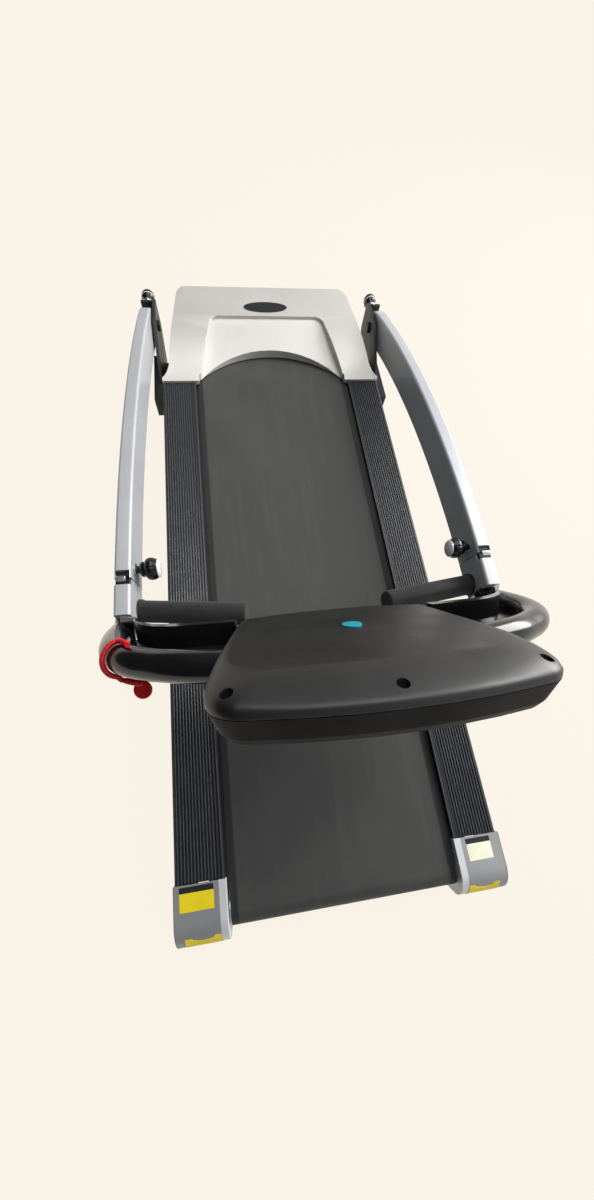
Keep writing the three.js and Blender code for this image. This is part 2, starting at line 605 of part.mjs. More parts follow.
function buildFeetAndWheels() {
  const footProfile = (top) => [
    [0, 0], [0, FOOT_RADIUS], [FOOT_HEIGHT - 4, FOOT_RADIUS], [FOOT_HEIGHT, FOOT_RADIUS - 5],
    [FOOT_HEIGHT, FOOT_STUD_RADIUS], [top, FOOT_STUD_RADIUS], [top, 0],
  ];
  const foot = (x, y, top) => solidOf(turned(footProfile(top), 16).rotateX(Math.PI / 2).translate(x, y, 0));
  addPair(treadmill, 'rear_foot', foot(SIDE_TUBE_MIDDLE, REAR_FOOT_Y, SIDE_TUBE_BOTTOM - GAP), looks.rubber);
  const crossbarBottom = CROSSBAR_TOP - CROSSBAR_HEIGHT;
  addPair(treadmill, 'front_foot', foot(FRONT_FOOT_X, CROSSBAR_Y, crossbarBottom - GAP), looks.rubber);

  const wheelOuter = SIDE_TUBE_INSIDE - 3;
  const wheelInner = wheelOuter - WHEEL_WIDTH;
  const tyre = rod('x', WHEEL_RADIUS, wheelInner, wheelOuter, WHEEL_Y, WHEEL_Z, 32);
  const bore = rod('x', WHEEL_AXLE_RADIUS + BEARING_GAP, wheelInner - 1, wheelOuter + 1,
    WHEEL_Y, WHEEL_Z, 16);
  addPair(treadmill, 'transport_wheel', cut(tyre, bore), looks.rubber);

  const plateInner = wheelOuter + 1;
  const plate = box(plateInner, plateInner + 6, WHEEL_Y - 14, WHEEL_Y + 14,
    WHEEL_Z - 12, SIDE_TUBE_BOTTOM - GAP);
  const flange = box(plateInner, SIDE_TUBE_OUTSIDE, WHEEL_Y - 14, WHEEL_Y + 14,
    SIDE_TUBE_BOTTOM - GAP - 3, SIDE_TUBE_BOTTOM - GAP);
  const axle = rod('x', WHEEL_AXLE_RADIUS, wheelInner - 1, plateInner + 1, WHEEL_Y, WHEEL_Z, 16);
  const head = rod('x', WHEEL_AXLE_RADIUS + 3, wheelInner - 4, wheelInner - 1, WHEEL_Y, WHEEL_Z, 16);
  addPair(treadmill, 'wheel_bracket', joined(plate, flange, axle, head), looks.steel);
}

// ---------------------------------------------------------------- motor hood

function hoodPlan(inset) {
  const front = HOOD_LENGTH - inset;
  const frontHalf = HOOD_FRONT_HALF - inset;
  const neckHalf = HOOD_NECK_HALF - inset;
  const flareHalf = RAIL_OUTER - inset;
  const mouthHalf = HOOD_MOUTH_HALF + inset;
  const radius = HOOD_CORNER_RADIUS - inset;
  const mouthRadius = MOUTH_RADIUS + inset;
  const mouthAngle = Math.acos(mouthHalf / mouthRadius);
  const rear = inset;
  const shape = new THREE.Shape();
  shape.moveTo(mouthHalf, rear);
  shape.lineTo(flareHalf, rear);
  shape.lineTo(flareHalf, rear + 8);
  shape.quadraticCurveTo(neckHalf + 2, 22, neckHalf, 62);
  shape.lineTo(frontHalf, front - radius);
  shape.absarc(frontHalf - radius, front - radius, radius, 0, Math.PI / 2);
  shape.lineTo(-frontHalf + radius, front);
  shape.absarc(-frontHalf + radius, front - radius, radius, Math.PI / 2, Math.PI);
  shape.lineTo(-neckHalf, 62);
  shape.quadraticCurveTo(-neckHalf - 2, 22, -flareHalf, rear + 8);
  shape.lineTo(-flareHalf, rear);
  shape.lineTo(-mouthHalf, rear);
  shape.absarc(0, MOUTH_CENTRE_Y, mouthRadius, Math.PI - mouthAngle, mouthAngle, true);
  return shape;
}

/** Side outline of the hood: low at the rear edge, flat on top, rounded at the front. */
function hoodProfile(inset) {
  const top = HOOD_TOP - inset;
  const front = HOOD_LENGTH + 1;
  const bottom = HOOD_BOTTOM - (inset > 0 ? 1 : 0);
  const shape = new THREE.Shape();
  shape.moveTo(-1, bottom);
  shape.lineTo(front, bottom);
  shape.lineTo(front, top - HOOD_FRONT_ROUND);
  shape.quadraticCurveTo(front, top, front - HOOD_FRONT_ROUND, top);
  shape.lineTo(POCKET_FAR_Y, top);
  shape.bezierCurveTo(120, top, 60, top - 12, -1, HOOD_REAR_TOP - inset);
  return shape;
}

/** The space scooped out of the hood above the belt, grown outwards by a margin. */
function pocket(margin) {
  const far = POCKET_FAR_Y + margin;
  const farHalf = POCKET_FAR_HALF + margin;
  const nearHalf = HOOD_MOUTH_HALF - 6 + margin;
  const radius = POCKET_CORNER_RADIUS + margin;
  const plan = new THREE.Shape();
  plan.moveTo(nearHalf, -20);
  plan.lineTo(nearHalf, 20);
  plan.lineTo(farHalf, far - radius);
  plan.absarc(farHalf - radius, far - radius, radius, 0, Math.PI / 2);
  plan.lineTo(-farHalf + radius, far);
  plan.absarc(-farHalf + radius, far - radius, radius, Math.PI / 2, Math.PI);
  plan.lineTo(-nearHalf, 20);
  plan.lineTo(-nearHalf, -20);
  const floorAt = (y) => POCKET_FLOOR - margin + (y - HOOD_MOUTH_DEPTH) * POCKET_SLOPE;
  const above = outline([[-20, floorAt(-20)], [far + 1, floorAt(far + 1)], [far + 1, 220], [-20, 220]]);
  return prismZ(plan, 60, 220, 6).intersect(prismX(above, -HOOD_NECK_HALF, HOOD_NECK_HALF));
}

function buildHood() {
  const reach = RAIL_OUTER + 1;
  const skin = prismZ(hoodPlan(0), HOOD_BOTTOM, 220, 8)
    .intersect(prismX(hoodProfile(0), -reach, reach, 8))
    .subtract(pocket(0));
  const hollow = prismZ(hoodPlan(HOOD_WALL), HOOD_BOTTOM - 1, 220, 8)
    .intersect(prismX(hoodProfile(HOOD_WALL), -reach, reach, 8))
    .subtract(pocket(HOOD_WALL));
  const beltWay = box(-HOOD_MOUTH_HALF - 8, HOOD_MOUTH_HALF + 8, -5, HOOD_MOUTH_DEPTH + 20,
    HOOD_BOTTOM - 1, BELT_TOP + 2.5);
  const deckWay = box(-SIDE_TUBE_OUTSIDE - 3, SIDE_TUBE_OUTSIDE + 3, -5, 40, HOOD_BOTTOM - 1, BELT_TOP);
  const crossbarWay = box(-reach, reach, CROSSBAR_Y - 30, CROSSBAR_Y + 30, 0, CROSSBAR_TOP + 1);
  const panelWay = (x, half) => box(x - half, x + half, HOOD_LENGTH - 10, HOOD_LENGTH + 2,
    PANEL_Z - PANEL_HALF_HEIGHT, PANEL_Z + PANEL_HALF_HEIGHT);
  const inletWay = panelWay(INLET_X, INLET_HALF);
  const switchWay = panelWay(SWITCH_X, SWITCH_HALF);
  const hood = cut(skin, hollow, beltWay, deckWay, crossbarWay, inletWay, switchWay);
  addSolid(treadmill, 'hood', hood, looks.hoodPaint());

  const oval = new THREE.Shape();
  oval.absellipse(0, HOOD_BADGE_Y, HOOD_BADGE_HALF_LENGTH, HOOD_BADGE_HALF_WIDTH, 0, Math.PI * 2);
  addSolid(treadmill, 'hood_badge', prismZ(oval, HOOD_TOP + GAP, HOOD_TOP + GAP + BADGE_THICKNESS, 12),
    looks.glossBlack());
}

function buildPowerPanel() {
  const face = HOOD_LENGTH;
  const low = PANEL_Z - PANEL_HALF_HEIGHT;
  const high = PANEL_Z + PANEL_HALF_HEIGHT;
  const body = (x, half) => box(x - half + GAP, x + half - GAP, face - PANEL_DEPTH, face + GAP + 0.5,
    low + GAP, high - GAP);
  const flange = box(INLET_X - INLET_HALF - 3, SWITCH_X + SWITCH_HALF + 3, face + GAP, face + GAP + 2,
    low - 3, high + 3);
  const well = box(INLET_X - INLET_WELL_HALF, INLET_X + INLET_WELL_HALF, face - INLET_WELL_DEPTH, face + 5,
    PANEL_Z - INLET_WELL_HALF_HEIGHT, PANEL_Z + INLET_WELL_HALF_HEIGHT);
  const cageHalf = ROCKER_HALF + 0.5;
  const cageWell = box(SWITCH_X - cageHalf, SWITCH_X + cageHalf, face - PANEL_DEPTH + 3, face + 5,
    low + 2, high - 2);
  const panel = cut(joined(body(INLET_X, INLET_HALF), body(SWITCH_X, SWITCH_HALF), flange), well, cageWell);
  addSolid(treadmill, 'power_panel', panel, looks.blackPlastic());

  const rockerFace = box(SWITCH_X - 8, SWITCH_X + 8, face - 20, face + 2.6, PANEL_Z - 9, PANEL_Z + 9);
  const rocker = rod('x', ROCKER_RADIUS, SWITCH_X - ROCKER_HALF, SWITCH_X + ROCKER_HALF,
    face - ROCKER_BEHIND_FACE, PANEL_Z, 28).intersect(rockerFace);
  addSolid(treadmill, 'power_switch', rocker, looks.redPlastic());
}

// ---------------------------------------------------------------- brackets and pivots

function buildBrackets() {
  const face = BRACKET_INNER + BRACKET_THICKNESS;
  const plate = new THREE.Shape();
  plate.moveTo(BRACKET_REAR_Y, BRACKET_BEAM_BOTTOM);
  plate.lineTo(BRACKET_LEG_REAR_Y, BRACKET_BEAM_BOTTOM);
  plate.lineTo(BRACKET_LEG_REAR_Y, CROSSBAR_TOP - CROSSBAR_HEIGHT);
  plate.lineTo(BRACKET_LEG_FRONT_Y, CROSSBAR_TOP - CROSSBAR_HEIGHT);
  plate.lineTo(BRACKET_FRONT_Y, BRACKET_NOSE_Z);
  plate.lineTo(BRACKET_FRONT_Y, PIVOT_Z + BRACKET_EYE_HEIGHT - 8);
  plate.lineTo(PIVOT_Y + 26, PIVOT_Z + BRACKET_EYE_HEIGHT);
  plate.lineTo(PIVOT_Y - 30, PIVOT_Z + BRACKET_EYE_HEIGHT - 2);
  plate.quadraticCurveTo(80, 150, 20, BRACKET_BEAM_TOP);
  plate.lineTo(BRACKET_REAR_Y, BRACKET_BEAM_TOP);
  const pinHole = rod('x', PIVOT_PIN_RADIUS + GAP, BRACKET_INNER - 1, face + 1, PIVOT_Y, PIVOT_Z, 20);
  const shelf = box(HOOD_NECK_HALF + 3, BRACKET_INNER + 1, SHELF_REAR_Y, SHELF_FRONT_Y,
    BRACKET_BEAM_BOTTOM, BRACKET_BEAM_BOTTOM + SHELF_THICKNESS);
  const cheek = box(BRACKET_INNER, ARM_OUTER, BRACKET_FRONT_Y - BRACKET_THICKNESS, BRACKET_FRONT_Y,
    PIVOT_Z - CHEEK_BELOW_PIVOT, PIVOT_Z + CHEEK_ABOVE_PIVOT);
  const beam = box(BRACKET_INNER, BRACKET_INNER + BRACKET_BEAM_WIDTH, BRACKET_REAR_Y, BRACKET_BEAM_FRONT_Y,
    BRACKET_BEAM_BOTTOM, BRACKET_BEAM_TOP);
  const stemHole = rod('y', KNOB_STEM_RADIUS + GAP, BRACKET_FRONT_Y - 9, BRACKET_FRONT_Y + 1,
    ARM_MIDDLE, PIVOT_Z, 16);
  const bracket = cut(joined(prismX(plate, BRACKET_INNER, face, 8), shelf, cheek, beam), pinHole, stemHole);
  addPair(treadmill, 'pivot_bracket', bracket, looks.blackSteel);

  const profile = [
    [BRACKET_INNER - 6, 0], [BRACKET_INNER - 6, 13], [BRACKET_INNER - GAP, 13],
    [BRACKET_INNER - GAP, PIVOT_PIN_RADIUS], [face + GAP, PIVOT_PIN_RADIUS],
    [face + GAP, 15], [ARM_INNER - GAP, 15], [ARM_INNER - GAP, PIVOT_PIN_RADIUS],
    [ARM_OUTER + GAP, PIVOT_PIN_RADIUS], [ARM_OUTER + GAP, 14], [ARM_OUTER + 6, 12], [ARM_OUTER + 6, 0],
  ];
  const pin = solidOf(turned(profile, 14).rotateZ(-Math.PI / 2).translate(0, PIVOT_Y, PIVOT_Z));
  addPair(treadmill, 'pivot_pin', pin, looks.steel);
}

function buildBaseKnobs() {
  const ball = KNOB_BALL_RADIUS;
  const bands = 6;
  const profile = [[PIVOT_Y + ARM_DEPTH / 2 + 4, 0], [PIVOT_Y + ARM_DEPTH / 2 + 4, KNOB_STEM_RADIUS],
    [BASE_KNOB_Y - 26, KNOB_STEM_RADIUS], [BASE_KNOB_Y - 26, 11], [BASE_KNOB_Y - 20, 13]];
  for (let band = 0; band <= bands; band += 1) {
    const angle = THREE.MathUtils.degToRad(-45 + (135 * band) / bands);
    profile.push([BASE_KNOB_Y + ball * Math.sin(angle), Math.max(ball * Math.cos(angle), 0)]);
  }
  const knob = solidOf(turned(profile, 16).translate(ARM_MIDDLE, 0, PIVOT_Z));
  addPair(treadmill, 'base_knob', knob, looks.glossBlack);
}

// ---------------------------------------------------------------- uprights

/** Points along an arc parallel to the upright's centre line, from one Y to another. */
function armArc(offset, fromY, toY) {
  const radius = ARM_ARC_RADIUS + offset;
  const count = Math.max(2, Math.ceil(Math.abs(toY - fromY) / ARM_FLAT_STEP));
  const points = [];
  for (let step = 0; step <= count; step += 1) {
    const y = fromY + (toY - fromY) * (step / count);
    points.push([y, ARM_ARC_CENTRE_Z + Math.sqrt(radius ** 2 - (y - ARM_APEX_Y) ** 2)]);
  }
  return points;
}

/** Leans a solid sideways in proportion to its distance from the pivot. */
function splayed(solid) {
  return solid.warp((point) => {
    point[0] += splayAt(point[1]);
  });
}

const seamLean = ELBOW_SEAM_RUN / ARM_DEPTH;

/** The stretch of the upright beyond the elbow, grown by a margin for cutting what meets it. */
function upperStretch(margin) {
  const half = ARM_DEPTH / 2 + margin;
  const end = UPPER_END_Y - margin;
  const start = ELBOW_Y - ELBOW_SEAM_GAP / 2;
  const top = armArc(half, end, start);
  const bottom = armArc(-half, start, end);
  bottom[0][0] += (ELBOW_Z - bottom[0][1]) * seamLean;
  top[top.length - 1][0] -= (top[top.length - 1][1] - ELBOW_Z) * seamLean;
  return prismX(outline([...top, ...bottom].reverse()), ARM_INNER - margin, ARM_OUTER + margin);
}

/** The stretch from the pivot to the elbow; the bore is smaller all round and open at the elbow. */
function armStretch(inset) {
  const half = ARM_DEPTH / 2 - inset;
  const start = ELBOW_Y + ELBOW_SEAM_GAP / 2 - inset * 2;
  const top = armArc(half, start, PIVOT_Y);
  const bottom = armArc(-half, PIVOT_Y, start);
  const last = bottom.length - 1;
  bottom[last][0] += (ELBOW_Z - bottom[last][1]) * seamLean;
  top[0][0] -= (top[0][1] - ELBOW_Z) * seamLean;
  const roundEnd = rod('x', half, ARM_INNER + inset, ARM_OUTER - inset, PIVOT_Y, PIVOT_Z, 32);
  const stretch = prismX(outline([...top, ...bottom].reverse()), ARM_INNER + inset, ARM_OUTER - inset);
  return joined(stretch, roundEnd);
}

function buildUprights() {
  const notchHalf = ELBOW_PIN_RADIUS + ELBOW_NOTCH_EASE;
  const pinHole = rod('x', PIVOT_PIN_RADIUS + BEARING_GAP, ARM_INNER - 1, ARM_OUTER + 1,
    PIVOT_Y, PIVOT_Z, 20);
  const pinSeat = (clearance) => joined(
    rod('x', ELBOW_PIN_RADIUS + clearance, ARM_INNER - 1, ARM_OUTER + 1, ELBOW_Y, ELBOW_Z, 20),
    box(ARM_INNER - 1, ARM_OUTER + 1, ELBOW_Y - notchHalf - clearance, ELBOW_Y + notchHalf + clearance,
      ELBOW_Z - ELBOW_NOTCH_DROP, ELBOW_Z + ARM_DEPTH));
  const bore = cut(armStretch(ARM_WALL),
    rod('x', PIVOT_PIN_RADIUS + 6, ARM_INNER, ARM_OUTER, PIVOT_Y, PIVOT_Z, 20),
    box(ARM_INNER, ARM_OUTER, ELBOW_Y - ELBOW_SOLID_HALF, ELBOW_Y + ELBOW_SOLID_HALF,
      ELBOW_Z - ELBOW_PIN_RADIUS - ARM_WALL * 2, ELBOW_Z + ARM_DEPTH));
  const arm = cut(armStretch(0), bore, pinHole, pinSeat(GAP));
  addPair(treadmill, 'arm', splayed(arm), looks.silverPaint);

  const barrel = rod('x', ELBOW_PIN_RADIUS, ARM_INNER + 1, ARM_OUTER - 1, ELBOW_Y, ELBOW_Z, 20);
  addPair(treadmill, 'elbow_barrel', splayed(barrel), looks.chrome);

  const upper = cut(upperStretch(0), pinSeat(BEARING_GAP));
  addPair(treadmill, 'upper_section', splayed(upper), looks.silverPaint);
}

function buildElbowKnobs() {
  const face = ARM_INNER + splayAt(ELBOW_KNOB_Y + ELBOW_KNOB_RADIUS) - GAP;
  const r = ELBOW_KNOB_RADIUS;
  const profile = [[0, 0], [0, 7], [10, 7], [12, 13], [17, 14], [19, r - 3], [26, r], [34, r],
    [ELBOW_KNOB_LENGTH - 4, r - 1], [ELBOW_KNOB_LENGTH, r - 4], [ELBOW_KNOB_LENGTH, 0]];
  const geometry = turned(profile, 24).rotateZ(Math.PI / 2).translate(face, ELBOW_KNOB_Y, ELBOW_KNOB_Z);
  addPair(treadmill, 'elbow_knob', solidOf(geometry), looks.glossBlack);
}

function buildGrips() {
  const root = new THREE.Vector3(ARM_INNER + splayAt(GRIP_Y), GRIP_Y, GRIP_Z);
  const heading = new THREE.Vector3(-199, -34, 29).normalize();
  const r = GRIP_RADIUS;
  const sunk = 14;
  const profile = [[-sunk, 0], [-sunk, r + 2], [6, r + 2], [6, r], [GRIP_LENGTH - 3, r],
    [GRIP_LENGTH, r - 3], [GRIP_LENGTH, 0]];
  const turn = new THREE.Quaternion().setFromUnitVectors(new THREE.Vector3(0, 1, 0), heading);
  const geometry = turned(profile, 20).applyQuaternion(turn).translate(root.x, root.y, root.z);
  addPair(treadmill, 'foam_grip', cut(solidOf(geometry), splayed(upperStretch(GAP))), looks.foam);
}

// ---------------------------------------------------------------- handlebars

const HANDLEBAR_ROOT_X = ARM_MIDDLE + splayAt(UPPER_END_Y);

/** Centre line of the right handlebar, from the upright's end round to inside the console. */
function handlebarCurve() {
  const x = HANDLEBAR_ROOT_X;
  const y = UPPER_END_Y - GAP;
  return new THREE.CatmullRomCurve3([
    new THREE.Vector3(x, y, 247),
    new THREE.Vector3(x + 1, y - 17, 253),
    new THREE.Vector3(x - 1, y - 38, 285),
    new THREE.Vector3(x - 9, y - 68, 333),
    new THREE.Vector3(x - 25, y - 98, 378),
    new THREE.Vector3(x - 50, y - 118, 406),
    new THREE.Vector3(x - 83, y - 131, 424),
    new THREE.Vector3(x - 120, y - 141, 440),
    new THREE.Vector3(CONSOLE_HALF - HANDLEBAR_SEATING, y - 152, 455),
  ]);
}

const handlebar = (clearance) => tubeAlong(handlebarCurve(), HANDLEBAR_RADIUS + clearance, 20, 7);

/** Cuts the upright's end space out of a solid. */
const clearOfUpright = (solid) => cut(solid, splayed(upperStretch(GAP)));

// ---------------------------------------------------------------- console

const consoleFrame = new THREE.Group();
consoleFrame.position.set(0, CONSOLE_Y, CONSOLE_Z);
consoleFrame.rotation.x = THREE.MathUtils.degToRad(CONSOLE_TILT);
consoleFrame.updateMatrixWorld(true);
treadmill.add(consoleFrame);

/** A solid given in the deck frame, as seen in the console's frame. */
function inConsoleFrame(solid) {
  return solidOf(geometryOf(solid).applyMatrix4(consoleFrame.matrixWorld.clone().invert()));
}

function consoleOutline(inset) {
  const foot = CONSOLE_FOOT_HALF - inset;
  const half = CONSOLE_HALF - inset;
  const footY = CONSOLE_FOOT_Y + inset;
  const topY = CONSOLE_TOP_Y - CONSOLE_TOP_BOW - inset;
  const shoulder = half - 30;
  const shape = new THREE.Shape();
  shape.moveTo(-foot, footY);
  shape.quadraticCurveTo(0, footY - CONSOLE_FOOT_BOW * 2, foot, footY);
  shape.quadraticCurveTo(half - 14, CONSOLE_SIDE_Y * 0.45, half, CONSOLE_SIDE_Y);
  shape.bezierCurveTo(half, CONSOLE_SIDE_Y + 34, half - 12, topY - 6, shoulder, topY);
  shape.quadraticCurveTo(0, topY + CONSOLE_TOP_BOW * 2, -shoulder, topY);
  shape.bezierCurveTo(-half + 12, topY - 6, -half, CONSOLE_SIDE_Y + 34, -half, CONSOLE_SIDE_Y);
  shape.quadraticCurveTo(-half + 14, CONSOLE_SIDE_Y * 0.45, -foot, footY);
  return shape;
}

/** The console's outline as a block with rounded rims, between two depths. */
function consoleBlock(inset, near, far, round, segments) {
  const geometry = new THREE.ExtrudeGeometry(consoleOutline(inset), {
    depth: far - near - 2 * round,
    bevelEnabled: true,
    bevelThickness: round,
    bevelSize: round,
    bevelOffset: -round,
    bevelSegments: segments,
    curveSegments: 7,
  });
  return solidOf(geometry.translate(0, 0, near + round));
}

const screwPlaces = [[-160, 238], [0, 256], [160, 238]];

/** Narrows the part of a console solid beyond the seam towards the display face. */
function drafted(solid) {
  const run = CONSOLE_THICKNESS - CONSOLE_SEAM_Z;
  return solid.warp((point) => {
    const share = Math.max(0, (point[2] - CONSOLE_SEAM_Z) / run);
    point[0] *= 1 - CONSOLE_DRAFT_ACROSS * share;
    point[1] = CONSOLE_DRAFT_Y + (point[1] - CONSOLE_DRAFT_Y) * (1 - CONSOLE_DRAFT_UP * share);
  });
}

function buildConsole() {
  const wide = CONSOLE_HALF + 50;
  const depth = CONSOLE_THICKNESS;
  const backSpace = box(-wide, wide, -100, 400, -1, CONSOLE_SEAM_Z);
  const faceSpace = box(-wide, wide, -100, 400, CONSOLE_SEAM_Z, depth + 1);
  const seam = box(-wide, wide, -100, 400, CONSOLE_SEAM_Z - GAP / 2, CONSOLE_SEAM_Z + GAP / 2);
  const hollow = consoleBlock(CONSOLE_WALL, CONSOLE_WALL, depth - CONSOLE_WALL, CONSOLE_FACE_ROUND, 1);
  const tubeRight = inConsoleFrame(handlebar(GAP));
  const tubes = [tubeRight, mirrored(tubeRight)];

  const backRim = consoleBlock(0, 0, depth, CONSOLE_BACK_ROUND, 3);
  const wells = screwPlaces.map(([x, y]) => rod('z', SCREW_WELL_RADIUS, -1, CONSOLE_WALL + 1, x, y, 16));
  const back = cut(backRim.intersect(backSpace), hollow, seam, ...tubes, ...wells);
  addSolid(consoleFrame, 'console_back', back, looks.blackPlastic());

  const lensCut = box(-LENS_WIDTH / 2 - GAP, LENS_WIDTH / 2 + GAP, LENS_Y - LENS_HEIGHT / 2 - GAP,
    LENS_Y + LENS_HEIGHT / 2 + GAP, depth - CONSOLE_WALL - 1, depth + 1);
  const buttonCuts = [-0.5, 0.5].map((side) => rod('z', BUTTON_RADIUS + BEARING_GAP / 2,
    depth - CONSOLE_WALL - 1, depth + 1, side * BUTTON_SPACING, BUTTON_Y, 24));
  const faceRim = consoleBlock(0, 0, depth, CONSOLE_FACE_ROUND, 2);
  const faceShell = cut(drafted(faceRim.intersect(faceSpace)), drafted(hollow.intersect(faceSpace)));
  const face = cut(faceShell, seam, ...tubes, lensCut, ...buttonCuts);
  addSolid(consoleFrame, 'console_face', face, looks.blackPlastic());

  const lens = box(-LENS_WIDTH / 2, LENS_WIDTH / 2, LENS_Y - LENS_HEIGHT / 2, LENS_Y + LENS_HEIGHT / 2,
    depth - CONSOLE_WALL, depth);
  addSolid(consoleFrame, 'display_lens', lens, looks.lens());

  const boardBack = depth - CONSOLE_WALL - GAP - BOARD_THICKNESS;
  const board = box(-LENS_WIDTH / 2 - 12, LENS_WIDTH / 2 + 12, LENS_Y - LENS_HEIGHT / 2 - 12,
    LENS_Y + LENS_HEIGHT / 2 + 12, boardBack, boardBack + BOARD_THICKNESS);
  addSolid(consoleFrame, 'display_board', board, looks.circuitBoard());

  [['button_start', -0.5, looks.greenPlastic], ['button_stop', 0.5, looks.redPlastic]].forEach(
    ([name, side, look]) => {
      const high = depth + BUTTON_PROUD;
      const button = rod('z', BUTTON_RADIUS, high - BUTTON_HEIGHT, high, side * BUTTON_SPACING, BUTTON_Y, 24);
      addSolid(consoleFrame, name, button, look());
    });

  const badge = rod('z', 13, -GAP - BADGE_THICKNESS, -GAP, 0, 92, 24);
  addSolid(consoleFrame, 'console_badge', badge, looks.tealBadge());
}

// ---------------------------------------------------------------- wings

/** Plan of a wing in the console's frame, out to the middle of the handlebar tube. */
function wingPlan(inset) {
  const shape = new THREE.Shape();
  shape.moveTo(CONSOLE_FOOT_HALF - 20, 100);
  shape.lineTo(CONSOLE_FOOT_HALF - 20, CONSOLE_FOOT_Y + 6 + inset);
  shape.lineTo(230, -8 + inset);
  shape.quadraticCurveTo(300, -16 + inset, 322 - inset / 2, -84 + inset);
  shape.lineTo(345, -100);
  shape.lineTo(340, -40);
  shape.lineTo(318, 20);
  shape.lineTo(285, 60);
  shape.lineTo(230, 88);
  shape.lineTo(190, 104);
  return shape;
}

function buildHandlebarsAndWings() {
  addPair(treadmill, 'handlebar', clearOfUpright(handlebar(0)), looks.glossBlack);

  const floorTop = WING_FLOOR_Z + WING_FLOOR_THICKNESS;
  const whole = prismZ(wingPlan(0), 2, floorTop, 6);
  const dish = prismZ(wingPlan(WING_RIM_WIDTH), 1, WING_FLOOR_Z, 6);
  const tube = inConsoleFrame(handlebar(GAP));
  const upright = inConsoleFrame(splayed(upperStretch(GAP)));
  const consoleSpace = consoleBlock(-GAP, -GAP, CONSOLE_THICKNESS + GAP, 2, 1);
  const wing = cut(whole, dish, tube, upright, consoleSpace);
  const pieces = wing.decompose().sort((a, b) => b.volume() - a.volume());
  addPair(consoleFrame, 'wing', pieces[0], looks.glossBlack);
}

// ---------------------------------------------------------------- lanyard

/** Curly cord over the bend of the left handlebar, its clip and its round key hanging together inside it. */
function buildLanyard() {
  const bend = handlebarCurve();
  const axis = bend.getSpacedPoints(400);
  const reach = HANDLEBAR_RADIUS + LANYARD_RADIUS + GAP * 2;
  const clearOfTube = (point) => {
    const nearest = axis.reduce((best, at) => (at.distanceTo(point) < best.distanceTo(point) ? at : best));
    const away = point.clone().sub(nearest);
    const resting = nearest.clone().addScaledVector(away.clone().normalize(), reach);
    return away.length() < reach + LANYARD_SLACK ? resting : point;
  };
  const clipStart = new THREE.Vector3(HANDLEBAR_ROOT_X - 36.7, -866, 381);
  const heading = new THREE.Vector3(-29, -9, -3).normalize();
  const route = new THREE.CatmullRomCurve3([
    new THREE.Vector3(HANDLEBAR_ROOT_X - 55.7, -831, 430),
    new THREE.Vector3(HANDLEBAR_ROOT_X - 39.7, -817, 415),
    new THREE.Vector3(HANDLEBAR_ROOT_X - 23.7, -834, 414),
    new THREE.Vector3(HANDLEBAR_ROOT_X - 19.7, -853, 404),
    new THREE.Vector3(HANDLEBAR_ROOT_X - 25.7, -864, 388),
    clipStart.clone().addScaledVector(heading, -3),
  ]);
  const points = route.getSpacedPoints(18).map(clearOfTube);
  points.push(clipStart.clone());
  const cord = tubeAlong(new THREE.CatmullRomCurve3(points), LANYARD_RADIUS, 24, 4);
  addSolid(treadmill, 'lanyard', mirrored(cord), looks.redPlastic());

  const along = new THREE.Quaternion().setFromUnitVectors(new THREE.Vector3(0, 1, 0), heading);
  const clipProfile = [[GAP, 0], [GAP, 3.5], [5, CLIP_RADIUS], [CLIP_LENGTH - 3, CLIP_RADIUS],
    [CLIP_LENGTH, CLIP_RADIUS - 2], [CLIP_LENGTH, 0]];
  const clip = turned(clipProfile, 12).applyQuaternion(along)
    .translate(clipStart.x, clipStart.y, clipStart.z);
  addSolid(treadmill, 'lanyard_clip', mirrored(solidOf(clip)), looks.redPlastic());

  const facing = new THREE.Vector3(0.137, -0.32, 0.9375).normalize();
  const aside = new THREE.Vector3().crossVectors(facing, heading).normalize();
  const drop = CLIP_RADIUS + GAP * 2 + KEY_THICKNESS;
  const centre = clipStart.clone().addScaledVector(heading, CLIP_LENGTH * 0.95)
    .addScaledVector(facing, -drop);
  centre.addScaledVector(aside, KEY_RADIUS * 0.7);
  const lying = new THREE.Quaternion().setFromUnitVectors(new THREE.Vector3(0, 1, 0), facing);
  const keyProfile = [[0, 0], [0, KEY_RADIUS - 1], [1, KEY_RADIUS], [KEY_THICKNESS - 1, KEY_RADIUS],
    [KEY_THICKNESS, KEY_RADIUS - 1], [KEY_THICKNESS, 0]];
  const key = turned(keyProfile, 24).applyQuaternion(lying).translate(centre.x, centre.y, centre.z);
  addSolid(treadmill, 'safety_key', mirrored(solidOf(key)), looks.redPlastic());
}

// ---------------------------------------------------------------- assembly

buildBeltAndDeck();
buildDrive();
buildFrame();
buildFootRails();
buildEndCaps();
buildFeetAndWheels();
buildHood();
buildPowerPanel();
buildBrackets();
buildBaseKnobs();
buildUprights();
buildElbowKnobs();
buildGrips();
buildConsole();
buildHandlebarsAndWings();
buildLanyard();

// The model's origin is on the floor under the middle of its bounding box.
const bounds = new THREE.Box3().setFromObject(treadmill, true);
treadmill.position.y = -(bounds.min.y + bounds.max.y) / 2;
treadmill.updateMatrixWorld(true);

export default treadmill;
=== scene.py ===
"""Looks for the folded treadmill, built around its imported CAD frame.

Sizes are in millimetres in the deck frame of the part: X to the walker's right, Y towards
the motor from the hood's rear edge, Z up from the floor. at() turns them into row metres.
"""

import json
import math

import bmesh
import bpy
from mathutils import Matrix, Vector

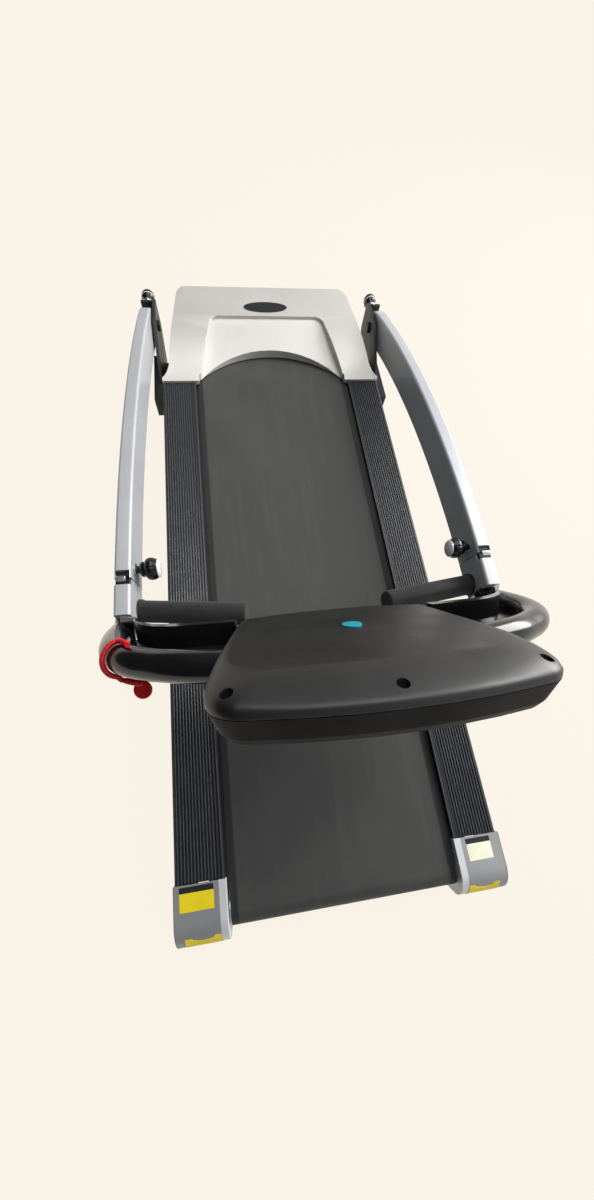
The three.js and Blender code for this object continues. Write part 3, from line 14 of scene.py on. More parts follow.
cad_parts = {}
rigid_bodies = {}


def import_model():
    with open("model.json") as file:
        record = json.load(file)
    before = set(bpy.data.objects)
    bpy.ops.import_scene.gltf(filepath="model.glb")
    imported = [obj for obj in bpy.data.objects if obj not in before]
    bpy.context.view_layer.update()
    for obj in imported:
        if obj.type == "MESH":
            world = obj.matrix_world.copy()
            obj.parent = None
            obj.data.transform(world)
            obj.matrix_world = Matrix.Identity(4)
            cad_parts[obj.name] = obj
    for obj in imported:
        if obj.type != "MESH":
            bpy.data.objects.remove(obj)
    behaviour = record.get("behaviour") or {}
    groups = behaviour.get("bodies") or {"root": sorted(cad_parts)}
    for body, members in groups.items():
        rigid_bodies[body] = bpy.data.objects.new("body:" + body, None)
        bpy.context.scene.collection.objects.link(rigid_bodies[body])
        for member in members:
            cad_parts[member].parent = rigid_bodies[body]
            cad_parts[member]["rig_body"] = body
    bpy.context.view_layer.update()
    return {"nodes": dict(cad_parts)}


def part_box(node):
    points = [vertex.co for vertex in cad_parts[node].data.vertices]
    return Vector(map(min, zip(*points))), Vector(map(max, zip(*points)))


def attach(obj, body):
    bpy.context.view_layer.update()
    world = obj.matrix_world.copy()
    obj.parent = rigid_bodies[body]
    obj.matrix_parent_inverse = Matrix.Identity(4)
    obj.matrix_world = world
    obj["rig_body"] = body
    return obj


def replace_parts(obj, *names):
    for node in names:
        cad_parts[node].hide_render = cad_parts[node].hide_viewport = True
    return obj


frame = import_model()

MM = 0.001
DECK_ORIGIN_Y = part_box("hood")[0].y
NODES = frame["nodes"]
SIDES = {"right": 1, "left": -1}

# ---------------------------------------------------------------- sizes shared with the part

BELT_HALF = 208
RAIL_INNER = 213.6
RAIL_LIP = 3.6
RAIL_FIRST_GROOVE = 226.9
RAIL_GROOVE_PITCH = 5.8
CAP_REAR = -1278
CAP_FRONT = -1177
CAP_TOP = 136
CAP_NOSE_RADIUS = 46
CAP_INNER = 211.5
CAP_OUTER = 302
PIVOT = (185, 157)
ARM_MIDDLE = 330.25
ARM_WIDTH = 28.5
ARM_DEPTH = 77
ARM_ARC_RADIUS = 2545
ARM_APEX = (-508, 255)
ARM_SPLAY = 0.0169
ELBOW = (-659, 280)
ELBOW_SEAM_LEAN = 14 / 77
ELBOW_SEAM_GAP = 2.0
ELBOW_NOTCH_HALF = 13.6
ELBOW_NOTCH_FLOOR = 277
ELBOW_NOTCH_WALL = 2
ELBOW_NOTCH_LINING_DEPTH = 8
ELBOW_NOTCH_CUT_TOP = 320
ELBOW_PIN_INSET = 5
UPRIGHT_CORNER = 5.0
UPPER_END = -728
LINING_GAP = 0.2
HANDLEBAR_RADIUS = 21.5
HANDLEBAR_ROOT = (345.684, -728.3)
HANDLEBAR_END_X = 154
LANYARD_RADIUS = 4
LANYARD_REACH = 26.1
LANYARD_SLACK = 4
BASE_KNOB_Y = 303
BASE_KNOB_RADIUS = 18.5
ELBOW_KNOB = (329.15, -632, 262)
ELBOW_KNOB_RADIUS = 21
ELBOW_KNOB_LENGTH = 46
CONSOLE_ORIGIN = (0, -790, 381)
CONSOLE_TILT = 124.4
CONSOLE_HALF = 184
CONSOLE_FOOT_HALF = 149
CONSOLE_FOOT_Y = -10
CONSOLE_FOOT_BOW = 20
CONSOLE_SIDE_Y = 205
CONSOLE_SIDE_INSET = 14
CONSOLE_SIDE_PULL = 0.45
CONSOLE_CORNER_RISE = 34
CONSOLE_CORNER_INSET = 12
CONSOLE_CORNER_DROP = 6
CONSOLE_SHOULDER_INSET = 30
CONSOLE_TOP_Y = 274
CONSOLE_TOP_BOW = 16
CONSOLE_MIDDLE = (0, 105)
CONSOLE_RIM_DEPTH = 20
CONSOLE_CROWN = 1.6
CONSOLE_SEAM_Z = 29
SCREW_PLACES = ((-160, 238), (0, 256), (160, 238))
SCREW_WELL_RADIUS = 6.6
SCREW_WELL_DEPTH = 26
SCREW_HEAD_DEPTH = 23
LABEL_LIFT = 0.35
LABEL_SINK = 0.2


def at(x, y, z):
    """A point of the deck frame, in millimetres, as a point of the row frame in metres."""
    return Vector((x * MM, y * MM + DECK_ORIGIN_Y, z * MM))


# ---------------------------------------------------------------- camera

CAMERA_PLACE = (-136.3, -996.3, 923.7)
CAMERA_TURN = (0.98295, 0.16606, -0.05610, -0.05550)
CAMERA_SENSOR = 36
CAMERA_LENS = 11.583
CAMERA_SHIFT = 0.022083333

camera_data = bpy.data.cameras.new("camera")
camera_data.sensor_width = CAMERA_SENSOR
camera_data.lens = CAMERA_LENS
camera_data.shift_y = CAMERA_SHIFT
camera_data.clip_start = 0.02
camera = bpy.data.objects.new("camera", camera_data)
camera.location = at(*CAMERA_PLACE)
camera.rotation_mode = "QUATERNION"
camera.rotation_quaternion = CAMERA_TURN
bpy.context.scene.collection.objects.link(camera)
bpy.context.scene.camera = camera
bpy.context.scene.view_settings.view_transform = "Standard"


# ---------------------------------------------------------------- materials

class Look:
    """A Principled material with object coordinates, in metres of the row frame."""

    def __init__(self, name, colour, roughness, metallic=0.0, coat=0.0):
        self.material = bpy.data.materials.new(name)
        self.material.use_nodes = True
        self.tree = self.material.node_tree
        self.shader = self.tree.nodes["Principled BSDF"]
        self.place = self.tree.nodes.new("ShaderNodeTexCoord").outputs["Object"]
        self.set("Base Color", (*colour, 1))
        self.set("Roughness", roughness)
        self.set("Metallic", metallic)
        self.set("Coat Weight", coat)
        self.set("Coat Roughness", 0.08)

    def set(self, socket, value):
        self.shader.inputs[socket].default_value = value

    def link(self, source, target):
        self.tree.links.new(source, target)

    def node(self, kind, **settings):
        """A new shader node, with its sockets or its own settings filled in by name."""
        made = self.tree.nodes.new("ShaderNode" + kind)
        for name, value in settings.items():
            if name in made.inputs:
                made.inputs[name].default_value = value
            else:
                setattr(made, name.lower(), value)
        return made

    def stretched(self, scale, turn=0.0):
        """Coordinates scaled separately along X, Y and Z, then turned about Z."""
        mapping = self.node("Mapping", Scale=scale, Rotation=(0, 0, turn))
        self.link(self.place, mapping.inputs["Vector"])
        return mapping.outputs["Vector"]

    def noise(self, scale, detail=3.0, place=None, roughness=0.5):
        made = self.node("TexNoise", Scale=scale, Detail=detail, Roughness=roughness)
        self.link(place or self.place, made.inputs["Vector"])
        return made.outputs["Fac"]

    def ramp(self, source, low, high, first, last):
        """Maps source from low..high to the range first..last, clamped."""
        made = self.node("MapRange")
        self.link(source, made.inputs["Value"])
        for socket, value in zip(("From Min", "From Max", "To Min", "To Max"), (low, high, first, last)):
            made.inputs[socket].default_value = value
        return made.outputs["Result"]

    def maths(self, operation, first, second):
        made = self.node("Math")
        made.operation = operation
        for socket, value in zip(made.inputs, (first, second)):
            if isinstance(value, (int, float)):
                socket.default_value = value
            else:
                self.link(value, socket)
        return made.outputs["Value"]

    def mixed(self, share, first, second):
        """Two colours, or a colour source and a colour, mixed by a share."""
        made = self.node("Mix")
        made.data_type = "RGBA"
        self.link(share, made.inputs["Factor"])
        for socket, value in zip((made.inputs[6], made.inputs[7]), (first, second)):
            if isinstance(value, tuple):
                socket.default_value = (*value, 1)
            else:
                self.link(value, socket)
        return made.outputs[2]

    def colour_from(self, source):
        self.link(source, self.shader.inputs["Base Color"])

    def roughness_from(self, source):
        self.link(source, self.shader.inputs["Roughness"])

    def bump(self, source, depth_mm):
        """Adds a height, in millimetres, on top of any bump already there, and can be chained."""
        made = self.node("Bump", Strength=1.0, Distance=depth_mm * MM)
        self.link(source, made.inputs["Height"])
        normal = self.shader.inputs["Normal"]
        if normal.is_linked:
            self.link(normal.links[0].from_socket, made.inputs["Normal"])
        self.link(made.outputs["Normal"], normal)
        return self


def metallic_paint(name, colour, metallic, low, high):
    """Sprayed metallic paint: fine flake, a faint cloud of tone and orange peel."""
    look = Look(name, colour, low, metallic)
    flake = look.noise(2600, 1)
    cloud = look.noise(5, 4)
    tone = look.maths("ADD", look.maths("MULTIPLY", flake, 0.6), look.maths("MULTIPLY", cloud, 0.4))
    darker = tuple(c * 0.86 for c in colour)
    lighter = tuple(min(c * 1.1, 1) for c in colour)
    look.colour_from(look.mixed(look.ramp(tone, 0.35, 0.65, 0, 1), darker, lighter))
    look.roughness_from(look.ramp(look.noise(60, 4), 0.3, 0.7, low, high))
    look.bump(look.noise(420, 2), 0.012)
    return look.material


def moulded_plastic(name, colour, low, high, grain=900, depth=0.06, scuffs=0.0, coat=0.0, shine=0.32):
    """Grained plastic with smudges in its gloss and, if asked for, fine pale scuffs."""
    look = Look(name, colour, low, coat=coat)
    smudge = look.noise(14, 5)
    lighter = tuple(c * 1.35 + 0.002 for c in colour)
    tone = look.mixed(look.ramp(smudge, 0.35, 0.7, 0, 1), colour, lighter)
    if scuffs:
        lines = look.noise(9, 6, look.stretched((3, 26, 26), 0.5), 0.7)
        crossing = look.noise(9, 6, look.stretched((30, 3, 26), -0.35), 0.7)
        pale_patches = look.maths("MAXIMUM", look.ramp(lines, 0.69, 0.74, 0, 1),
                          look.ramp(crossing, 0.7, 0.75, 0, 1))
        tone = look.mixed(look.maths("MULTIPLY", pale_patches, scuffs), tone, (0.32, 0.32, 0.33))
    look.colour_from(tone)
    look.roughness_from(look.ramp(look.noise(22, 5), 0.3, 0.7, low, high))
    look.set("Specular IOR Level", shine)
    look.bump(look.noise(grain, 2), depth)
    return look.material


def across_mm(look):
    """Distance from the machine's middle line, in millimetres."""
    split = look.node("SeparateXYZ")
    look.link(look.place, split.inputs[0])
    return look.maths("MULTIPLY", look.maths("ABSOLUTE", split.outputs["X"], 0.0), 1 / MM)


def rail_look():
    """Ribbed black plastic: ridges with a patchy painted highlight, grooves darkened with painted shade and a
    painted highlight along the lip.
    """
    # Painted shade darkens the grooves, and a painted highlight, broken into patches, lightens the ridges.
    groove_shade_colour = (0.004, 0.004, 0.005)
    ridge_colour, ridge_highlight_colour = (0.018, 0.020, 0.026), (0.062, 0.068, 0.088)
    edge_colour, lip_highlight_colour = (0.012, 0.012, 0.015), (0.045, 0.048, 0.055)
    look = Look("ribbed_plastic", (0.02, 0.02, 0.024), 0.4)
    across = across_mm(look)
    steps = look.maths("DIVIDE", look.maths("SUBTRACT", across, RAIL_FIRST_GROOVE), RAIL_GROOVE_PITCH)
    phase = look.maths("ABSOLUTE", look.maths("SUBTRACT", look.maths("FRACT", steps, 0.0), 0.5), 0.0)
    # The ridge mask shapes the ribs' bump and places the painted highlight on the ridges and the painted
    # shade in the grooves.
    ridge = look.ramp(phase, 0.12, 0.3, 1, 0)
    pale_patches = look.noise(60, 5, look.stretched((6, 1, 1)))
    ridge_tone = look.mixed(look.ramp(pale_patches, 0.3, 0.75, 0, 1), ridge_colour, ridge_highlight_colour)
    tone = look.mixed(ridge, groove_shade_colour, ridge_tone)
    beside_belt = look.ramp(across, RAIL_FIRST_GROOVE - 2, RAIL_FIRST_GROOVE, 1, 0)
    tone = look.mixed(beside_belt, tone, edge_colour)
    # A painted highlight runs along the lip's edge.
    lip_highlight_mask = look.ramp(across, RAIL_INNER + RAIL_LIP - 0.4, RAIL_INNER + RAIL_LIP, 1, 0)
    tone = look.mixed(lip_highlight_mask, tone, lip_highlight_colour)
    look.colour_from(tone)
    look.roughness_from(look.ramp(look.noise(22, 5), 0.3, 0.7, 0.34, 0.5))
    look.bump(ridge, 0.8).bump(look.noise(900, 2), 0.04)
    return look.material


def end_cap_look():
    """Grey painted plastic, paler on the flange beside the belt, with painted shade turning it black down the
    outer side.
    """
    dark_grey, light_grey, flake_grey = (0.27, 0.275, 0.28), (0.36, 0.365, 0.37), (0.5, 0.51, 0.52)
    flange_colour, outer_shade_colour = (0.72, 0.73, 0.74), (0.015, 0.015, 0.017)
    flange_edge = CAP_INNER + 12
    look = Look("cap_plastic", (0.36, 0.37, 0.385), 0.4, 0.25)
    across = across_mm(look)
    cloud = look.noise(5, 4)
    flake = look.noise(2600, 1)
    tone = look.mixed(look.ramp(cloud, 0.35, 0.65, 0, 1), dark_grey, light_grey)
    tone = look.mixed(look.ramp(flake, 0.4, 0.7, 0, 0.3), tone, flake_grey)
    tone = look.mixed(look.ramp(across, flange_edge, flange_edge + 2, 1, 0), tone, flange_colour)
    # Painted shade: the outer side is coloured black.
    outer_shade_mask = look.ramp(across, CAP_OUTER - 1.6, CAP_OUTER - 0.8, 0, 1)
    tone = look.mixed(outer_shade_mask, tone, outer_shade_colour)
    look.colour_from(tone)
    look.roughness_from(look.ramp(look.noise(60, 4), 0.3, 0.7, 0.36, 0.5))
    look.bump(look.noise(420, 2), 0.05)
    return look.material


def running_belt_look():
    """Woven, rubber-coated belt: a fine diamond texture with streaks, dust and a dark hem."""
    dark_rubber, light_rubber = (0.040, 0.0405, 0.039), (0.058, 0.058, 0.055)
    streak_colour, dust_colour = (0.082, 0.082, 0.078), (0.22, 0.21, 0.19)
    weave_colour, hem_colour = (0.030, 0.030, 0.031), (0.008, 0.008, 0.009)
    hem_start, hem_full = BELT_HALF - 15, BELT_HALF - 11
    look = Look("running_belt", (0.050, 0.051, 0.050), 0.62)
    rows = []
    for turn in (0.785, -0.785):
        wave = look.node("TexWave", Scale=190, Distortion=0.0)
        look.link(look.stretched((1, 1, 1), turn), wave.inputs["Vector"])
        rows.append(wave.outputs["Fac"])
    weave = look.maths("MULTIPLY", rows[0], rows[1])
    streaks = look.noise(6, 5, look.stretched((10, 0.8, 1)))
    cloud = look.noise(7, 5)
    tone = look.mixed(look.ramp(cloud, 0.3, 0.7, 0, 1), dark_rubber, light_rubber)
    tone = look.mixed(look.ramp(streaks, 0.5, 0.8, 0, 0.4), tone, streak_colour)
    specks = look.noise(340, 2)
    tone = look.mixed(look.ramp(specks, 0.73, 0.78, 0, 0.5), tone, dust_colour)
    tone = look.mixed(look.ramp(weave, 0.2, 0.8, 0, 0.35), tone, weave_colour)
    tone = look.mixed(look.ramp(across_mm(look), hem_start, hem_full, 0, 1), tone, hem_colour)
    look.colour_from(tone)
    look.roughness_from(look.ramp(cloud, 0.3, 0.7, 0.52, 0.68))
    look.bump(weave, 0.25).bump(look.noise(900, 2), 0.08)
    return look.material


def foam_look():
    """Soft closed-cell foam: matt, with fine pores and slight handling marks."""
    look = Look("foam", (0.010, 0.010, 0.0105), 0.85)
    cells = look.node("TexVoronoi", Scale=900)
    look.link(look.place, cells.inputs["Vector"])
    marks = look.ramp(look.noise(30, 5), 0.35, 0.7, 0, 1)
    tone = look.mixed(marks, (0.007, 0.007, 0.0075), (0.017, 0.017, 0.018))
    look.colour_from(tone)
    look.bump(cells.outputs["Distance"], 0.12).bump(look.noise(120, 3), 0.15)
    look.set("Sheen Weight", 0.12)
    return look.material


def metal_look(name, colour, low, high, brush=None):
    """Bare or plated metal; brush gives the scales that draw its finish out along a line."""
    look = Look(name, colour, low, 1.0)
    place = look.stretched(brush) if brush else None
    look.roughness_from(look.ramp(look.noise(40, 4, place), 0.3, 0.7, low, high))
    smudge = look.ramp(look.noise(25, 3), 0.35, 0.7, 0, 1)
    look.colour_from(look.mixed(smudge, colour, tuple(c * 0.85 for c in colour)))
    look.bump(look.noise(500, 2, place), 0.01)
    return look.material


def board_look():
    """Fibre board with a long faint grain on its cut edges and black laminate on its faces."""
    look = Look("deck_board", (0.35, 0.23, 0.13), 0.6)
    dark_wood, light_wood, laminate = (0.27, 0.17, 0.09), (0.42, 0.29, 0.17), (0.008, 0.008, 0.009)
    grain = look.noise(20, 6, look.stretched((12, 0.7, 4)))
    wood = look.mixed(look.ramp(grain, 0.3, 0.7, 0, 1), dark_wood, light_wood)
    facing = look.node("SeparateXYZ")
    look.link(look.node("NewGeometry").outputs["Normal"], facing.inputs[0])
    flat = look.ramp(look.maths("ABSOLUTE", facing.outputs["Z"], 0.0), 0.6, 0.8, 0, 1)
    look.colour_from(look.mixed(flat, wood, laminate))
    look.bump(grain, 0.2)
    return look.material


LOOKS = {
    "silver": metallic_paint("silver_paint", (0.50, 0.515, 0.54), 0.25, 0.36, 0.48),
    "hood": metallic_paint("hood_paint", (0.60, 0.585, 0.55), 0.3, 0.34, 0.46),
    "cap": end_cap_look(),
    "black_steel": moulded_plastic("black_steel", (0.016, 0.016, 0.018), 0.38, 0.5, 700, 0.05),
    "console": moulded_plastic("console_plastic", (0.004, 0.004, 0.0042), 0.36, 0.48, 1100, 0.045,
                               scuffs=0.3, shine=0.6),
    "console_dark": moulded_plastic("console_dark_plastic", (0.005, 0.005, 0.0055), 0.5, 0.62, 1100, 0.04,
                                    shine=0.12),
    "gloss": moulded_plastic("gloss_black", (0.0045, 0.0045, 0.005), 0.14, 0.26, 300, 0.01, coat=0.3),
    "ribbed": rail_look(),
    "belt": running_belt_look(),
    "rubber": moulded_plastic("black_rubber", (0.013, 0.013, 0.013), 0.62, 0.8, 400, 0.12),
    "foam": foam_look(),
    "board": board_look(),
    "steel": metal_look("zinc_plate", (0.60, 0.61, 0.63), 0.25, 0.42, (1, 20, 20)),
    "chrome": metal_look("chrome", (0.84, 0.85, 0.87), 0.05, 0.16),
    "red": moulded_plastic("red_plastic", (0.52, 0.006, 0.012), 0.26, 0.4, 500, 0.03),
    "green": moulded_plastic("green_plastic", (0.02, 0.30, 0.09), 0.28, 0.4, 500, 0.03),
    "teal": moulded_plastic("teal_enamel", (0.015, 0.36, 0.47), 0.16, 0.26, 300, 0.01, coat=0.5),
    "yellow": moulded_plastic("yellow_label", (0.90, 0.70, 0.01), 0.4, 0.52, 500, 0.02),
    "label": moulded_plastic("pale_label", (0.80, 0.78, 0.62), 0.42, 0.55, 500, 0.02),
    "silver_disc": metallic_paint("silver_disc", (0.86, 0.87, 0.88), 0.15, 0.24, 0.34),
    "lens": moulded_plastic("dark_window", (0.004, 0.005, 0.007), 0.06, 0.12, 200, 0.002, coat=0.8),
    "circuit": moulded_plastic("circuit_board", (0.015, 0.10, 0.035), 0.4, 0.55, 600, 0.04),
}


def wear(obj, look):
    """Gives an object one look all over."""
    obj.data.materials.clear()
    obj.data.materials.append(LOOKS[look])


NODE_LOOKS = {
    "arm": "silver", "upper_section": "silver", "hood": "hood", "end_cap": "cap",
    "running_belt": "belt", "deck_board": "board", "foot_rail": "ribbed", "foam_grip": "foam",
    "drive_belt": "rubber", "rear_foot": "rubber", "front_foot": "rubber", "transport_wheel": "rubber",
    "front_roller": "steel", "rear_roller": "steel", "motor_pulley": "steel", "wheel_bracket": "steel",
    "pivot_pin": "black_steel", "elbow_barrel": "chrome", "base_knob": "gloss", "elbow_knob": "gloss",
    "handlebar": "gloss", "wing": "gloss", "hood_badge": "gloss", "console_back": "console",
    "console_face": "console_dark", "power_panel": "console_dark", "motor_controller": "console_dark",
    "button_start": "green", "button_stop": "red", "power_switch": "red", "lanyard": "red",
    "lanyard_clip": "red", "safety_key": "red", "console_badge": "teal", "display_lens": "lens",
    "display_board": "circuit",
}


def look_of(node):
    """The name of a node's look, which both sides share; plain steel parts aren't listed."""
    return NODE_LOOKS.get(node.removesuffix("_left").removesuffix("_right"), "black_steel")


for node_name, node in NODES.items():
    wear(node, look_of(node_name))


# ---------------------------------------------------------------- mesh helpers

def new_object(name, mesh, look, body):
    """Links a mesh as a piece that rides on a CAD body."""
    piece = bpy.data.objects.new(name, mesh)
    bpy.context.scene.collection.objects.link(piece)
    wear(piece, look)
    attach(piece, body)
    return piece


def finished(piece, sharp_angle=35, bevel=0.0, segments=2):
    """Smooth shading that keeps flats flat, with real edges rounded by a small bevel."""
    mesh = piece.data
    for polygon in mesh.polygons:
        polygon.use_smooth = True
    mesh.set_sharp_from_angle(angle=math.radians(sharp_angle))
    if bevel:
        rounded = piece.modifiers.new("edges", "BEVEL")
        rounded.width = bevel * MM
        rounded.segments = segments
        rounded.limit_method = "ANGLE"
        rounded.angle_limit = math.radians(sharp_angle)
        rounded.harden_normals = True
        rounded.miter_outer = "MITER_ARC"
    else:
        weighted = piece.modifiers.new("normals", "WEIGHTED_NORMAL")
        weighted.keep_sharp = True
    return piece


def skin(node, bevel=0.8, sharp_angle=30, segments=2):
    """A copy of a CAD node with its flats merged and its edges rounded, shown in its place."""
    source = NODES[node]
    work = bmesh.new()
    work.from_mesh(source.data)
    bmesh.ops.remove_doubles(work, verts=work.verts, dist=0.01 * MM)
    bmesh.ops.dissolve_limit(work, angle_limit=math.radians(0.4), verts=work.verts, edges=work.edges)
    bmesh.ops.recalc_face_normals(work, faces=work.faces)
    mesh = bpy.data.meshes.new(node + "_skin")
    work.to_mesh(mesh)
    work.free()
    piece = new_object(node + "_skin", mesh, look_of(node), source["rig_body"])
    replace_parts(piece, node)
    return finished(piece, sharp_angle, bevel, segments)


def both(kind):
    """The names of a kind of node on both sides."""
    return (kind + "_right", kind + "_left")


def piece_from(name, points, faces, look, body):
    """A piece whose points are given in millimetres of the deck frame."""
    mesh = bpy.data.meshes.new(name)
    mesh.from_pydata([at(*point) for point in points], [], faces)
    work = bmesh.new()
    work.from_mesh(mesh)
    bmesh.ops.recalc_face_normals(work, faces=work.faces)
    work.to_mesh(mesh)
    work.free()
    return new_object(name, mesh, look, body)


def carved(piece, cutters):
    """Cuts other pieces out of a piece, keeps the result as its plain mesh and removes the cutters."""
    for cutter in cutters:
        cut = piece.modifiers.new("cut", "BOOLEAN")
        cut.object = cutter
        cut.operation = "DIFFERENCE"
        cut.solver = "EXACT"
    graph = bpy.context.evaluated_depsgraph_get()
    mesh = bpy.data.meshes.new_from_object(piece.evaluated_get(graph))
    piece.modifiers.clear()
    piece.data = mesh
    for cutter in cutters:
        bpy.data.objects.remove(cutter)
    return piece


def rings_joined(name, rings, look, body):
    """A closed skin over rings of points, with a flat face on the first and the last."""
    count = len(rings[0])
    points = [point for ring in rings for point in ring]
    faces = [tuple(range(count)), tuple(range(len(points) - count, len(points)))]
    for row in range(len(rings) - 1):
        for column in range(count):
            across = (column + 1) % count
            faces.append((row * count + column, row * count + across,
                          (row + 1) * count + across, (row + 1) * count + column))
    return piece_from(name, points, faces, look, body)


def turned(name, profile, look, body, base, axis, sides=48, flutes=0, depth=0.0):
    """A solid of revolution from (height, radius) points; flutes ripple its widest stretch."""
    turn = Vector((0, 0, 1)).rotation_difference(Vector(axis))
    widest = max(radius for _, radius in profile)
    rings = []
    for height, radius in profile:
        ring = []
        for step in range(sides):
            angle = step * math.tau / sides
            ripple = depth * max(0, math.cos(flutes * angle)) if flutes and radius > widest * 0.85 else 0
            r = max(radius, 0.05) * (1 - ripple)
            ring.append(Vector(base) + turn @ Vector((r * math.cos(angle), r * math.sin(angle), height)))
        rings.append(ring)
    return rings_joined(name, rings, look, body)


def smooth_line(points, count):
    """Points along a centripetal Catmull-Rom curve that part it into count even steps."""
    points = [Vector(point) for point in points]
    ends = [points[0] * 2 - points[1], *points, points[-1] * 2 - points[-2]]
    fine = []
    per_span = 40
    for index in range(1, len(ends) - 2):
        p0, p1, p2, p3 = ends[index - 1:index + 3]
        d0, d1, d2 = (max((b - a).length, 1e-4) ** 0.5 for a, b in ((p0, p1), (p1, p2), (p2, p3)))
        t1 = ((p1 - p0) / d0 - (p2 - p0) / (d0 + d1) + (p2 - p1) / d1) * d1
        t2 = ((p2 - p1) / d1 - (p3 - p1) / (d1 + d2) + (p3 - p2) / d2) * d1
        for step in range(per_span):
            t = step / per_span
            fine.append(p1 + t1 * t + (p2 * 3 - p1 * 3 - t1 * 2 - t2) * t ** 2
                        + (p1 * 2 - p2 * 2 + t1 + t2) * t ** 3)
    fine.append(points[-1])
    run = [0.0]
    for first, second in zip(fine, fine[1:]):
        run.append(run[-1] + (second - first).length)
    spaced = []
    index = 0
    for step in range(count + 1):
        goal = run[-1] * step / count
        while index < len(run) - 2 and run[index + 1] < goal:
            index += 1
        share = (goal - run[index]) / max(run[index + 1] - run[index], 1e-9)
        spaced.append(fine[index].lerp(fine[index + 1], min(share, 1)))
    return spaced


def tube(name, line, look, body, radius_at, sides=32):
    """A round tube along a line; radius_at takes the distance along it and the angle round it."""
    heading = (line[1] - line[0]).normalized()
    across = heading.orthogonal().normalized()
    rings = []
    run = 0.0
    for index, place in enumerate(line):
        ahead = (line[min(index + 1, len(line) - 1)] - line[max(index - 1, 0)]).normalized()
        across = (heading.rotation_difference(ahead) @ across).normalized()
        heading = ahead
        beside = heading.cross(across)
        ring = []
        for step in range(sides):
            angle = step * math.tau / sides
            ring.append(place + (across * math.cos(angle) + beside * math.sin(angle)) * radius_at(run, angle))
        rings.append(ring)
        if index + 1 < len(line):
            run += (line[index + 1] - place).length
    return rings_joined(name, rings, look, body)


def mirrored(points, side):
    """Points of the right side, as they are for side 1 and across the middle line for side -1."""
    return [Vector((point[0] * side, point[1], point[2])) for point in points]


def handlebar_line(side, count=110):
    """Middle line of a handlebar tube, from the upright's end to inside the console."""
    x, y = HANDLEBAR_ROOT
    return mirrored(smooth_line([
        (x, y, 247), (x + 1, y - 17, 253), (x - 1, y - 38, 285), (x - 9, y - 68, 333),
        (x - 25, y - 98, 378), (x - 50, y - 118, 406), (x - 83, y - 131, 424),
        (x - 120, y - 141, 440), (HANDLEBAR_END_X, y - 152, 455),
    ], count), side)


# ---------------------------------------------------------------- lanyard

def build_lanyard():
    """Red ribbed cord over the bend of the left handlebar, with a clip and a round key on its end.

    Its points are given on the right side and mirrored, and those near the tube are moved to lie on it.
    """
    axis = handlebar_line(1, 400)
    x = HANDLEBAR_ROOT[0]
    clip_start = Vector((x - 36.7, -866, 381))
    clip_heading = Vector((-29, -9, -3)).normalized()
    lead_in = 3
    route = []
    for place in smooth_line([
        (x - 55.7, -831, 430), (x - 39.7, -817, 415), (x - 23.7, -834, 414),
        (x - 19.7, -853, 404), (x - 25.7, -864, 388), clip_start - clip_heading * lead_in,
    ], 18):
        nearest = min(axis, key=lambda point: (point - place).length)
        away = place - nearest
        if away.length < LANYARD_REACH + LANYARD_SLACK:
            place = nearest + away.normalized() * LANYARD_REACH
        route.append(place)
    route.append(clip_start)
    line = mirrored(smooth_line(route, 230), -1)
    rib_pitch = 2.4
    rib = 0.45

    def radius_at(run, angle):
        return LANYARD_RADIUS - rib + rib * math.cos(run * math.tau / rib_pitch + angle)

    cord = tube("lanyard_cord", line, "red", NODES["lanyard"]["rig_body"], radius_at, 16)
    finished(cord, 60)
    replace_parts(cord, "lanyard")
    fittings = [
        skin("lanyard_clip", bevel=0.4, sharp_angle=40),
        skin("safety_key", bevel=0.8, sharp_angle=40),
    ]


build_lanyard()

# ---------------------------------------------------------------- uprights

def arm_arc(offset, first, last, steps):
    """Points of an arc parallel to the upright's middle line, from one Y to another."""
    radius = ARM_ARC_RADIUS + offset
    line = []
    for step in range(steps + 1):
        y = first + (last - first) * step / steps
        line.append((y, ARM_APEX[1] - ARM_ARC_RADIUS + math.sqrt(radius ** 2 - (y - ARM_APEX[0]) ** 2)))
    return line


def upright_middle(y):
    """Distance of an upright's middle line from the machine's, at one Y."""
    return ARM_MIDDLE + (PIVOT[0] - y) * ARM_SPLAY


def section(side, y, low, high):
    """Rounded rectangle across an upright at one Y, between two heights; the seam's lean is added later."""
    middle = upright_middle(y)
    steps = 4
    # A corner takes less than half of a low section, as on the eye's last rings.
    corner = min(UPRIGHT_CORNER, (high - low) / 2.2)
    across, up = ARM_WIDTH / 2 - corner, (high - low) / 2 - corner
    ring = []
    for quarter, (sx, sz) in enumerate(((1, 1), (-1, 1), (-1, -1), (1, -1))):
        for step in range(steps + 1):
            angle = (quarter + step / steps) * math.pi / 2
            ring.append((side * (middle + sx * across + corner * math.cos(angle)), y,
                         (low + high) / 2 + sz * up + corner * math.sin(angle)))
    return ring


def leaning(ring):
    """Leans the end of an upright along the elbow's seam."""
    return [(x, y - (z - ELBOW[1]) * ELBOW_SEAM_LEAN, z) for x, y, z in ring]


def notched(piece, name, side, body, half_width):
    """Sinks the elbow's notch into the top face of an upright's end."""
    middle = side * upright_middle(ELBOW[0])
    low, high = ELBOW[0] - ELBOW_NOTCH_HALF, ELBOW[0] + ELBOW_NOTCH_HALF
    floor, top = ELBOW_NOTCH_FLOOR, ELBOW_NOTCH_CUT_TOP
    corners = [(low, floor), (high, floor), (high, top), (low, top)]
    ends = [[(middle + half, y, z) for y, z in corners] for half in (-half_width, half_width)]
    return carved(piece, [rings_joined(name, ends, "silver", body)])


